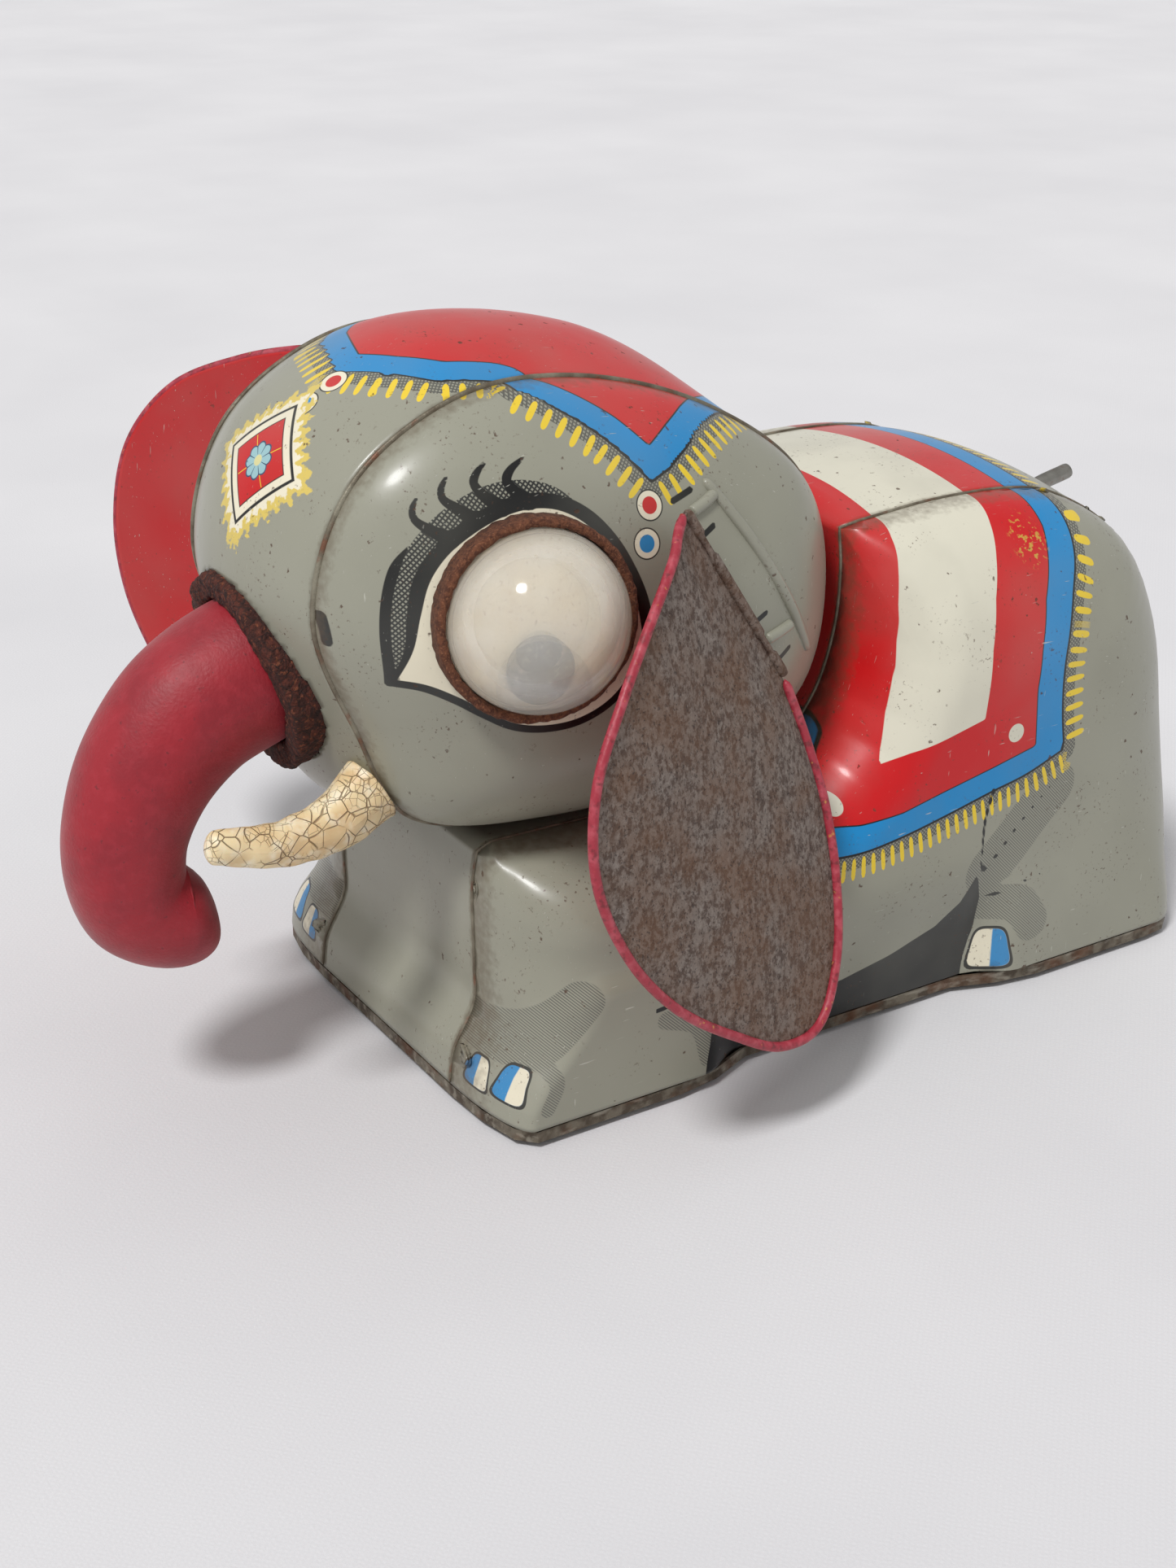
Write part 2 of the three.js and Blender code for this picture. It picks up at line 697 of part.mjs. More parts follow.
// ---- Head ----
const headHalf = headStripWidth / 2;
const headBulge = headWidth / 2 - headHalf;
const headAt = (lengthShare, heightShare) => [
  lengthShare * headLength - headOverhang,
  headBottom + heightShare * headHeight,
];
const headCorners = [
  headAt(0.155, 0.076),
  headAt(0.069, 0.295),
  headAt(0.0, 0.57),
  headAt(0.074, 0.834),
  headAt(0.266, 0.986),
  headAt(0.478, 0.994),
  headAt(0.755, 0.875),
  headAt(0.957, 0.67),
  headAt(1.0, 0.418),
  headAt(0.951, 0.174),
  headAt(0.757, 0.024),
  headAt(0.393, 0.0),
];
const headLine = curveThrough(headCorners, 38, true);
const headCentre = headAt(0.551, 0.45);
const headDepth = (share) => headBulge * (1 - share ** 2.2) ** 0.6;

function headRows(side) {
  const steps = 7;
  const rows = [];
  for (let i = 0; i < steps; i++) {
    const inward = (i / steps) ** 1.9;
    rows.push(
      headLine.map(([y, z]) =>
        vec(
          side * (headHalf + sideGap + headDepth(1 - inward)),
          lerp(y, headCentre[0], inward),
          lerp(z, headCentre[1], inward),
        ),
      ),
    );
  }
  return rows;
}

const headInside = vec(0, ...headCentre);
const headPole = (side) => vec(side * (headHalf + sideGap + headBulge), ...headCentre);
const headPanel = (side) => sheet(headRows(side), tin, headInside, { ring: true, pole: headPole(side) });

// Where a point of the side lies between the middle (0) and the rim (1).
function headShare(y, z) {
  const [fromY, fromZ] = [y - headCentre[0], z - headCentre[1]];
  const reach = Math.hypot(fromY, fromZ);
  let nearest = { alike: -Infinity, rim: 1 };
  for (const [rimY, rimZ] of headLine) {
    const rim = Math.hypot(rimY - headCentre[0], rimZ - headCentre[1]);
    const alike = (fromY * (rimY - headCentre[0]) + fromZ * (rimZ - headCentre[1])) / (reach * rim);
    if (alike > nearest.alike) nearest = { alike, rim };
  }
  return reach / nearest.rim;
}
const headSurface = (y, z) => headHalf + sideGap + headDepth(headShare(y, z));

// ---- Eyes ----
const [eyeY, eyeZ] = headAt(0.298, 0.571);
const eyeLift = 0.6;
const slopeStep = 3;
const eyeAxisLeft = vec(
  1,
  (headSurface(eyeY - slopeStep, eyeZ) - headSurface(eyeY + slopeStep, eyeZ)) / (2 * slopeStep),
  (headSurface(eyeY, eyeZ - slopeStep) - headSurface(eyeY, eyeZ + slopeStep)) / (2 * slopeStep),
).normalize();
const onSide = (v, side) => vec(side * v.x, v.y, v.z);
const eyeSeatLeft = vec(headSurface(eyeY, eyeZ), eyeY, eyeZ).addScaledVector(eyeAxisLeft, eyeLift);

function eyeArc(radius, from, to, steps) {
  const points = [];
  for (let k = 0; k <= steps; k++) {
    const angle = lerp(from, to, k / steps);
    points.push([Math.max(0, radius * Math.cos(angle)), radius * Math.sin(angle)]);
  }
  return points;
}
const quarter = Math.PI / 2;
const domeProfile = [
  ...eyeArc(eyeRadius, 0, quarter, 6),
  ...eyeArc(eyeRadius - eyeWall, quarter, 0, 6),
  [eyeRadius, 0],
];
const ringInner = eyeRadius + gap;
const ringOuter = ringInner + eyeRingWidth;
const ringFoot = -2.4; // reaches into the hole in the side panel
const ringProfile = [
  [ringInner, ringFoot],
  [ringOuter, ringFoot],
  [ringOuter, 0.7],
  [ringOuter - 0.5, 1.2],
  [ringInner, 1.2],
  [ringInner, ringFoot],
];
const backingTop = -gap;
const backingRadius = ringInner - gap;
const backingProfile = [
  [0, backingTop - 0.6],
  [backingRadius, backingTop - 0.6],
  [backingRadius, backingTop],
  [0, backingTop],
];
const pupilProfile = [
  [0, 0],
  [pupilRadius, 0],
  [pupilRadius, pupilThickness],
  [0, pupilThickness],
];
// The loose pupil lies low in the dome, against its backing.
const downLeft = Z.clone().negate().addScaledVector(eyeAxisLeft, eyeAxisLeft.z).normalize();
const pupilReach = eyeRadius - eyeWall - pupilRadius - 1.1;
function outwardLathe(profile, segments, origin, axis) {
  const geometry = turned(profile, segments, origin, axis);
  return toSolid(geometry).volume() > 0 ? geometry : turnedInside(geometry);
}

const head = new THREE.Group();
toy.add(head);
const sides = [
  [1, "left"],
  [-1, "right"],
];
for (const [side, name] of sides) {
  const axis = onSide(eyeAxisLeft, side);
  const seat = onSide(eyeSeatLeft, side);
  const socket = outwardLathe(
    [
      [0, -6],
      [ringOuter + gap, -6],
      [ringOuter + gap, 6],
      [0, 6],
    ],
    24,
    seat,
    axis,
  );
  piece(`head_side_${name}`, cut(headPanel(side), socket), greyTin, head);
  piece(`eye_backing_${name}`, outwardLathe(backingProfile, 24, seat, axis), cream, head);
  piece(`eye_ring_${name}`, outwardLathe(ringProfile, 24, seat, axis), collarBrown, head);
  piece(`eye_dome_${name}`, outwardLathe(domeProfile, 24, seat, axis), clear, head);
  const pupilSeat = seat
    .clone()
    .addScaledVector(onSide(downLeft, side), pupilReach)
    .addScaledVector(axis, 0.4);
  piece(`pupil_${name}`, outwardLathe(pupilProfile, 20, pupilSeat, axis), darkGrey, head);
}

// The head's strip runs from the throat over the top to the nape, and leaves the neck open.
const throat = headLine.slice(0, 30);
const headCrownAt = (y) => lerp(headCrown, 0.8, smooth(headBack * 0.5, headBack * 0.94, y));
const headStrip = stripBetween(throat, headHalf - sideGap, headCrownAt, headInside);

// ---- Head hanger ----
// A strap across the inside of the head, with lugs on the neck pin and a lever down to the cam.
const strapZ = neckZ + 12;
const strapHalf = headSurface(neckY, strapZ) - tin - gap - 0.2;
const lugX = neckUpright - gap - plateThickness;
// The lever clears the cam's high side when the head is right down.
const leverSwing = (neckZ - frontAxleZ + 2) * Math.sin(degrees(nodDown));
const leverBack = frontAxleY - camRadius - camThrow - gap - leverSwing;
const leverFront = leverBack - plateThickness;
const hangerLug = (side) =>
  box(
    side * lugX,
    side * (lugX + plateThickness),
    neckY - 4,
    leverBack,
    neckZ - 3,
    strapZ + plateThickness,
  );
const hanger = join(
  box(-strapHalf, strapHalf, neckY - 4, neckY + 4, strapZ, strapZ + plateThickness),
  hangerLug(1),
  hangerLug(-1),
  box(-lugX - 0.1, lugX + 0.1, leverFront, leverBack, neckZ - 3, neckZ + 3),
  box(-2, 2, leverFront, leverBack, frontAxleZ - 2, neckZ),
);
piece("head_hanger", cut(hanger, pinHole), steel, head);

// A closed round form along a path. sectionAt gives a share's radius and how wide it is for its height.
function sweptRound(path, shares, sectionAt, tip, around) {
  const points = [];
  for (const share of shares) {
    const [radius, wide] = sectionAt(share);
    const tangent = path.getTangentAt(share);
    const beside = X.clone().addScaledVector(tangent, -tangent.x).normalize();
    const above = tangent.clone().cross(beside);
    for (let k = 0; k < around; k++) {
      const angle = (2 * Math.PI * k) / around;
      const middle = path.getPointAt(share).addScaledVector(beside, radius * wide * Math.cos(angle));
      points.push(middle.addScaledVector(above, radius * Math.sin(angle)));
    }
  }
  const last = (shares.length - 1) * around;
  const ends = points.length;
  points.push(path.getPointAt(0), path.getPointAt(1).addScaledVector(path.getTangentAt(1), tip));
  const faces = [];
  for (let k = 0; k < around; k++) {
    const next = (k + 1) % around;
    for (let low = 0; low < last; low += around) {
      faces.push([low + k, low + next, low + around + next], [low + k, low + around + next, low + around + k]);
    }
    faces.push([ends, next, k], [ends + 1, last + k, last + next]);
  }
  return closedSolid(points, faces);
}

// ---- Trunk ----
const trunkAt = (forward, up) => vec(0, -headOverhang - forward, headBottom + up);
const trunkPath = new THREE.CatmullRomCurve3(
  [
    trunkAt(-3.5, 24),
    trunkAt(3, 22.2),
    trunkAt(10.5, 18.5),
    trunkAt(17.5, 11),
    trunkAt(21.5, 1),
    trunkAt(20.6, -7.5),
    trunkAt(15.4, -11.4),
    trunkAt(10.6, -10.6),
  ],
  false,
  "centripetal",
);
function trunkRadius(share) {
  const taper = lerp(trunkBase, trunkEnd, smooth(0, 0.62, share));
  return taper * Math.sqrt(Math.max(0.02, 1 - Math.max(0, (share - 0.92) / 0.08) ** 2));
}
const trunkSteps = 18;
const trunkShares = [];
for (let i = 0; i <= trunkSteps; i++) trunkShares.push(Math.sin((quarter * i) / trunkSteps));
piece("trunk", sweptRound(trunkPath, trunkShares, (share) => [trunkRadius(share), 1], 0, 14), rubberRed, head);

const trunkRoot = trunkPath.getPointAt(0);
const trunkAxis = trunkPath.getTangentAt(0);
const collarInner = trunkRadius(0) + gap;
const collarSeat = trunkRoot.clone().addScaledVector(trunkAxis, 0.2);
const collarProfile = [
  [collarInner, 0],
  [collarInner + collarWidth, 0],
  [collarInner + collarWidth, collarThickness - 1],
  [collarInner + collarWidth - 1, collarThickness],
  [collarInner, collarThickness],
  [collarInner, 0],
];
piece("trunk_collar", outwardLathe(collarProfile, 28, collarSeat, trunkAxis), collarBrown, head);

// ---- Tusks ----
const tuskRoot = (side) => vec(side * 17.6, -headOverhang + 8.4, headBottom + 9.2);
const tuskEnd = 2.1;
const tuskSteps = 10;
const tuskShares = [];
for (let i = 0; i <= tuskSteps; i++) tuskShares.push(i / tuskSteps);
function tuskSection(share) {
  const blunt = share === 1 ? 0.6 : 1;
  return [lerp(tuskBase, tuskEnd, share ** 0.6) * blunt, 0.8];
}
function tusk(side) {
  const root = tuskRoot(side);
  const path = new THREE.CatmullRomCurve3([
    root,
    root.clone().add(vec(side * 1.2, -6, -3)),
    root.clone().add(vec(side * 1.6, -14, -4.2)),
    root.clone().add(vec(side * 0.6, -25.4, -2.6)),
  ]);
  return sweptRound(path, tuskShares, tuskSection, 0.8, 10);
}

// The strip and panels are cut clear of the trunk and tusk roots.
const trunkHole = outwardLathe(
  [
    [0, -8],
    [collarInner + collarWidth + gap, -8],
    [collarInner + collarWidth + gap, 12],
    [0, 12],
  ],
  28,
  trunkRoot,
  trunkAxis,
);
const tuskSlots = sides.map(([side]) => {
  const root = tuskRoot(side);
  return new THREE.SphereGeometry(tuskBase + 1.4, 12, 8).translate(root.x, root.y, root.z);
});
piece("head_centre_strip", cut(headStrip, trunkHole, ...tuskSlots), greyTin, head);
for (const [side, name] of sides) {
  piece(`tusk_${name}`, tusk(side), ivory, head);
}

// ---- Ears ----
// Each ear is drawn in its own frame: a runs down the hinge wire, b runs out from it.
const earOutline = [
  [0.5, 0.6],
  [1.6, 9],
  [3, 18.5],
  [5.4, 27.8],
  [10.5, 39],
  [20, 46.6],
  [33, 49.4],
  [46, 48.2],
  [58, 43.8],
  [67.5, 38.6],
  [71.5, 32],
  [68, 23],
  [59, 13.6],
  [50, 7.4],
  [42, 3.2],
  [earHinge - 0.5, 0.6],
];
const earDish = 3; // how far the ear bulges away from the face
function earGeometry() {
  const rim = new THREE.CatmullRomCurve3(
    earOutline.map(([a, b]) => vec(a, b, 0)),
    false,
    "centripetal",
  ).getSpacedPoints(32);
  const centre = vec(30, 24, 0);
  const bulge = (p) => earDish * (1 - ((p.y - 24) / 25) ** 2) * smooth(0, 8, p.y);
  const rows = [];
  for (let i = 0; i < 3; i++) {
    const inward = i / 3;
    rows.push(
      rim.map((p) => {
        const here = p.clone().lerp(centre, inward);
        here.z = bulge(here);
        return here;
      }),
    );
  }
  const pole = centre.clone().setZ(bulge(centre));
  return discSheet(rows, pole, tin);
}

// A thin plate with a flat-ish face: rows of points from its rim to a middle point.
function discSheet(rows, pole, wall) {
  const wide = rows[0].length;
  const points = [];
  for (const depth of [0, -wall]) {
    for (const row of rows) for (const p of row) points.push(p.clone().setZ(p.z + depth));
    points.push(pole.clone().setZ(pole.z + depth));
  }
  const layer = rows.length * wide + 1;
  const at = (side, i, j) => side * layer + i * wide + (j % wide);
  const middle = (side) => (side + 1) * layer - 1;
  const faces = [];
  for (let j = 0; j < wide; j++) {
    for (let i = 0; i + 1 < rows.length; i++) {
      const top = [at(0, i, j), at(0, i, j + 1), at(0, i + 1, j + 1), at(0, i + 1, j)];
      const low = [at(1, i, j), at(1, i + 1, j), at(1, i + 1, j + 1), at(1, i, j + 1)];
      for (const [a, b, c, d] of [top, low]) faces.push([a, b, c], [a, c, d]);
    }
    const last = rows.length - 1;
    faces.push([at(0, last, j), at(0, last, j + 1), middle(0)]);
    faces.push([at(1, last, j + 1), at(1, last, j), middle(1)]);
    faces.push([at(0, 0, j), at(1, 0, j), at(1, 0, j + 1)], [at(0, 0, j), at(1, 0, j + 1), at(0, 0, j + 1)]);
  }
  return closedSolid(points, faces);
}

// The hinge line of each ear: its top end on the head and its direction down the head.
const hingeTop = { left: headAt(0.584, 0.774), right: headAt(0.527, 0.853) };
const hinges = {};
for (const [side, name] of sides) {
  const slope = degrees(hingeSlope[name]);
  const down = vec(0, Math.cos(slope), -Math.sin(slope));
  const heights = [0, 0.25, 0.5, 0.75, 1].map((share) =>
    headSurface(hingeTop[name][0] + share * earHinge * down.y, hingeTop[name][1] + share * earHinge * down.z),
  );
  const top = vec(side * (Math.max(...heights) + hingeStandOff), ...hingeTop[name]);
  hinges[name] = { side, top, down };
}

const strapPlaces = [earHinge * 0.2, earHinge * 0.8];
const earCurl = hingeWire + 0.5; // outside radius of the ear's edge rolled round the wire
const strapInner = earCurl + 0.2;
const strapOuter = strapInner + tin;
const strapFoot = 2.4;
const strapFootLift = 0.1;
for (const [side, name] of sides) {
  const { top, down } = hinges[name];
  const flat = vec(0, down.z, -down.y); // forward along the head's side
  const swing = degrees(earSwing[name]);
  const reach = flat.clone().multiplyScalar(Math.cos(swing)).addScaledVector(X, side * Math.sin(swing));
  const bulge = down.clone().cross(reach).multiplyScalar(side > 0 ? 1 : -1);
  const away = bulge.dot(vec(side, 0, 0)) >= 0 ? bulge : bulge.negate();
  const frame = new THREE.Matrix4().makeBasis(down, reach, away).setPosition(top);
  const geometry = earGeometry().applyMatrix4(frame);
  const handed = frame.determinant() > 0;
  const facing = handed ? geometry : turnedInside(geometry);
  const curl = tube(
    [top.clone().addScaledVector(down, 0.4), top.clone().addScaledVector(down, earHinge - 0.4)],
    earCurl,
    1,
    10,
  );
  const notches = strapPlaces.map((along) =>
    box(along - strapLength / 2 - gap, along + strapLength / 2 + gap, -2.5, strapOuter + gap, -6, 6)
      .applyMatrix4(frame),
  );
  const notched = cut(facing, ...(handed ? notches : notches.map(turnedInside)));
  piece(`ear_${name}`, join(notched, curl), redTin, head);

  // The hinge wire's two straps stand on the head.
  strapPlaces.forEach((along, k) => {
    const middle = top.clone().addScaledVector(down, along);
    const corners = [-1, 1].flatMap((u) => [-1, 1].map((v) => [(u * strapLength) / 2, (v * strapFoot) / 2]));
    const under = corners.map(([along, beside]) =>
      headSurface(
        middle.y + along * down.y + beside * down.z,
        middle.z + along * down.z - beside * down.y,
      ),
    );
    const surface = Math.max(...under) + gap + strapFootLift;
    const ring = turned(
      [
        [strapInner, -strapLength / 2],
        [strapOuter, -strapLength / 2],
        [strapOuter, strapLength / 2],
        [strapInner, strapLength / 2],
        [strapInner, -strapLength / 2],
      ],
      12,
      middle,
      down,
    );
    const footHeight = Math.abs(middle.x) - strapInner - 0.2 - surface;
    const foot = new THREE.BoxGeometry(footHeight, strapLength, strapFoot);
    foot.translate(side * (surface + footHeight / 2), 0, 0);
    foot.rotateX(Math.atan2(down.z, down.y));
    foot.translate(0, middle.y, middle.z);
    piece(`ear_strap_${name}_${k ? "low" : "top"}`, join(ring, foot), greyTin, head);
  });
}

export default part;
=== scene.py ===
import json
import math

import bmesh
import bpy
import numpy as np
from mathutils import Matrix, Vector, noise


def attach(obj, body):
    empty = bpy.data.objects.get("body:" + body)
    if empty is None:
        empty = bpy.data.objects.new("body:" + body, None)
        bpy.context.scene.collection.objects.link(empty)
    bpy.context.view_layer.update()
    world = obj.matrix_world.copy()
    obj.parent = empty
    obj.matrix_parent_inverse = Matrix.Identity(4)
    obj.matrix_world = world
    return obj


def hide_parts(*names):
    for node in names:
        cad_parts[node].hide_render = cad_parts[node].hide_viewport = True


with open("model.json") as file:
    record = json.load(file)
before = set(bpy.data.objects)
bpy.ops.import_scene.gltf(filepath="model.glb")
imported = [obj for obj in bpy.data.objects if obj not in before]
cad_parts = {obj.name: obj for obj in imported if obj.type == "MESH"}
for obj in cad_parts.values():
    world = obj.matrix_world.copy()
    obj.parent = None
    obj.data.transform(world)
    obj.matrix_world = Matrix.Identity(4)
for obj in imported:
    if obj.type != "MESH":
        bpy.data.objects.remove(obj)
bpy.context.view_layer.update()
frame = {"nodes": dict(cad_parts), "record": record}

# Sizes are in millimetres, measured from the body's front edge, as in the part; metres() changes them.
MM = 0.001
BODY_LENGTH = 134.0
BODY_HEIGHT = 77.0
BODY_HALF = 21.0
BODY_DEPTH = 18.0
BELLY_RELIEF = 3.8
SHELL_BOTTOM = 2.1
CHEST_SETBACK = 4.6
CHEST_HEIGHT = 39.5
DECK = 39.5
RECESS_BACK = 68.5
HEAD_LENGTH = 82.4
HEAD_HEIGHT = 63.4
HEAD_OVERHANG = 17.4
HEAD_BOTTOM = 41.5
HEAD_HALF = 19.5
HEAD_DEPTH = 17.5
SIDE_GAP = 0.15
TIN = 0.5
EAR_HINGE = 33.2


def metres(points):
    """Millimetre points from the body's front edge, as metres in the model's frame."""
    return (np.asarray(points, float) - (0, BODY_LENGTH / 2, 0)) * MM


def millimetres(mesh):
    """The vertices of a mesh, as millimetre points from the body's front edge."""
    flat = np.empty(len(mesh.vertices) * 3)
    mesh.vertices.foreach_get("co", flat)
    return flat.reshape(-1, 3) / MM + (0, BODY_LENGTH / 2, 0)


def lerp(a, b, t):
    return a + (b - a) * t


def smooth(low, high, value):
    t = np.clip((value - low) / (high - low), 0, 1)
    return t * t * (3 - 2 * t)


# ---- Curves ----
def curve_through(points, count, closed=False):
    """Evenly spaced points on a centripetal Catmull-Rom curve."""
    given = np.array(points, float)
    total = len(given)
    pieces = []
    share = np.linspace(0, 1, 40, endpoint=False)[:, None]
    for i in range(total if closed else total - 1):
        start, end = given[i], given[(i + 1) % total]
        before = given[i - 1] if closed or i else 2 * start - end
        after = given[(i + 2) % total] if closed or i + 2 < total else 2 * end - start
        first, middle, last = (
            np.linalg.norm(b - a) ** 0.5 for a, b in ((before, start), (start, end), (end, after))
        )
        leaving = middle * ((start - before) / first - (end - before) / (first + middle))
        leaving = leaving + (end - start)
        arriving = middle * ((after - end) / last - (after - start) / (middle + last))
        arriving = arriving + (end - start)
        square = 3 * (end - start) - 2 * leaving - arriving
        cube = 2 * (start - end) + leaving + arriving
        pieces.append(start + leaving * share + square * share**2 + cube * share**3)
    pieces.append(given[:1] if closed else given[-1:])
    dense = np.vstack(pieces)
    steps = np.linalg.norm(np.diff(dense, axis=0), axis=1)
    length = np.concatenate([[0], np.cumsum(steps)])
    even = np.linspace(0, length[-1], count + 1)
    return np.stack([np.interp(even, length, column) for column in dense.T], 1)


def sample(line, share):
    """Points at shares from 0 to 1 of an evenly spaced line."""
    where = share * (len(line) - 1)
    marks = np.arange(len(line))
    return np.stack([np.interp(where, marks, column) for column in line.T], 1)


def nearest_on(line, points):
    """How far points lie from a line, and the place on the line, counted in its segments."""
    least = np.full(len(points), np.inf)
    place = np.zeros(len(points))
    for k in range(len(line) - 1):
        start, along = line[k], line[k + 1] - line[k]
        share = np.clip((points - start) @ along / (along @ along), 0, 1)
        away = np.linalg.norm(points - start - share[:, None] * along, axis=1)
        closer = away < least
        least = np.where(closer, away, least)
        place = np.where(closer, k + share, place)
    return least, place


def is_inside(outline, points):
    """Which flat points lie inside a closed outline."""
    found = np.zeros(len(points), bool)
    for (a, b), (c, d) in zip(outline, np.roll(outline, -1, axis=0)):
        if b == d:
            continue
        crosses = (b > points[:, 1]) != (d > points[:, 1])
        found ^= crosses & (points[:, 0] < (c - a) * (points[:, 1] - b) / (d - b) + a)
    return found


def inward(outline, points):
    """How far flat points lie inside a closed outline; outside is negative."""
    away, _ = nearest_on(np.vstack([outline, outline[:1]]), points)
    return np.where(is_inside(outline, points), away, -away)


# ---- Meshes ----
def finish_mesh(shape, name, body, stands_for=(), soft_edge=None):
    """Turns a bmesh into a smooth piece riding on a body."""
    bmesh.ops.remove_doubles(shape, verts=shape.verts, dist=2e-6)
    flat = [f for f in shape.faces if f.calc_area() < 1e-14]
    bmesh.ops.delete(shape, geom=flat, context="FACES_ONLY")
    bmesh.ops.recalc_face_normals(shape, faces=shape.faces)
    mesh = bpy.data.meshes.new(name)
    shape.to_mesh(mesh)
    shape.free()
    mesh.shade_smooth()
    if soft_edge is not None:
        mesh.set_sharp_from_angle(angle=math.radians(soft_edge))
    piece = bpy.data.objects.new(name, mesh)
    bpy.context.collection.objects.link(piece)
    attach(piece, body)
    if stands_for:
        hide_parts(*stands_for)
    return piece


def mapped_grid(columns, rows, place):
    """A grid whose points at (u, v), each from 0 to 1, are moved to place(u, v)."""
    shape = bmesh.new()
    bmesh.ops.create_grid(shape, x_segments=columns, y_segments=rows, size=0.5)
    flat = np.array([(vert.co.x, vert.co.y) for vert in shape.verts])
    flat = (flat - flat.min(axis=0)) / np.ptp(flat, axis=0)
    for vert, spot in zip(shape.verts, metres(place(flat[:, 0], flat[:, 1]))):
        vert.co = spot
    return shape


def swept(path, radius_at, around=40, flat=1.0):
    """A closed round form along a path. flat is its width across for its height."""
    tangents = np.gradient(path, axis=0)
    if np.allclose(path[0], path[-1]):
        tangents[0] = tangents[-1] = path[1] - path[-2]
    tangents /= np.linalg.norm(tangents, axis=1)[:, None]
    beside = np.array([1.0, 0, 0]) - tangents[:, :1] * tangents
    beside /= np.linalg.norm(beside, axis=1)[:, None]
    above = np.cross(tangents, beside)

    def place(u, v):
        radius = radius_at(u)[:, None]
        angle = 2 * math.pi * v[:, None]
        across = radius * flat * np.cos(angle) * sample(beside, u)
        return sample(path, u) + across + radius * np.sin(angle) * sample(above, u)

    return mapped_grid(len(path) - 1, around, place)


def turned(profile, origin, axis, steps=96):
    """Turns a profile of (radius, height) points about an axis through origin."""
    shape = bmesh.new()
    verts = [shape.verts.new((radius * MM, 0, height * MM)) for radius, height in profile]
    edges = [shape.edges.new(pair) for pair in zip(verts, verts[1:])]
    bmesh.ops.spin(
        shape,
        geom=verts + edges,
        cent=(0, 0, 0),
        axis=(0, 0, 1),
        angle=2 * math.pi,
        steps=steps,
        use_merge=True,
    )
    stand = Vector((0, 0, 1)).rotation_difference(Vector(axis)).to_matrix().to_4x4()
    place = Matrix.Translation(Vector(metres([origin])[0])) @ stand
    bmesh.ops.transform(shape, matrix=place, verts=shape.verts)
    return shape


def roughen(shape, amount, size):
    """Moves each vertex along its normal by smooth noise."""
    shape.normal_update()
    moves = [v.normal * (noise.noise(v.co / (size * MM)) * amount * MM) for v in shape.verts]
    for vert, move in zip(shape.verts, moves):
        vert.co += move


def open_where(shape, test):
    """Deletes the faces whose middle passes a test in millimetres."""
    faces = list(shape.faces)
    middles = np.array([face.calc_center_median() for face in faces]) / MM + (0, BODY_LENGTH / 2, 0)
    gone = [face for face, hit in zip(faces, test(middles)) if hit]
    bmesh.ops.delete(shape, geom=gone, context="FACES")


def wall(piece, thickness=TIN):
    modifier = piece.modifiers.new("wall", "SOLIDIFY")
    modifier.thickness = thickness * MM
    modifier.offset = -1


def mark(piece, name, values):
    """Keeps one number for each vertex, for the paint to read."""
    attribute = piece.data.attributes.new(name, "FLOAT", "POINT")
    attribute.data.foreach_set("value", np.asarray(values, np.float32))


def paint(piece, *finishes):
    piece.data.materials.clear()
    for finish in finishes:
        piece.data.materials.append(finish)


# ---- Finishes ----
def ink(red, green, blue):
    """A printed colour, given from 0 to 255, as Blender's linear values."""
    parts = [c / 255 for c in (red, green, blue)]
    return tuple(c / 12.92 if c <= 0.04045 else ((c + 0.055) / 1.055) ** 2.4 for c in parts) + (1,)


GREY = ink(148, 147, 132)
RED = ink(196, 8, 16)
BLUE = ink(12, 132, 194)
WHITE = ink(214, 210, 192)
CREAM = ink(232, 224, 200)
YELLOW = ink(232, 200, 44)
BLACK = ink(9, 9, 10)
RUST = ink(78, 52, 36)


class Value:
    """A number that a node gives. Arithmetic on it adds Math nodes."""

    def __init__(self, finish, socket):
        self.finish = finish
        self.socket = socket

    def math(self, operation, *others, clamp=False):
        node = self.finish.node("ShaderNodeMath", operation=operation, use_clamp=clamp)
        for slot, value in zip(node.inputs, (self, *others)):
            self.finish.wire(value, slot)
        return Value(self.finish, node.outputs[0])

    def flipped(self, operation, other):
        node = self.finish.node("ShaderNodeMath", operation=operation)
        self.finish.wire(other, node.inputs[0])
        self.finish.wire(self, node.inputs[1])
        return Value(self.finish, node.outputs[0])

    def __add__(self, other):
        return self.math("ADD", other)

    def __sub__(self, other):
        return self.math("SUBTRACT", other)

    def __mul__(self, other):
        return self.math("MULTIPLY", other)

    def __truediv__(self, other):
        return self.math("DIVIDE", other)

    def __rsub__(self, other):
        return self.flipped("SUBTRACT", other)

    __radd__ = __add__
    __rmul__ = __mul__

    def above(self, edge, soft=0.04):
        """1 above an edge and 0 below it."""
        node = self.finish.node("ShaderNodeMapRange")
        for slot, value in (("Value", self), ("From Min", edge - soft), ("From Max", edge + soft)):
            self.finish.wire(value, node.inputs[slot])
        return Value(self.finish, node.outputs["Result"])

    def below(self, edge, soft=0.04):
        return 1 - self.above(edge, soft)

    def between(self, low, high, soft=0.04):
        return self.above(low, soft) * self.below(high, soft)

    def least(self, other):
        return self.math("MINIMUM", other)

    def most(self, other):
        return self.math("MAXIMUM", other)


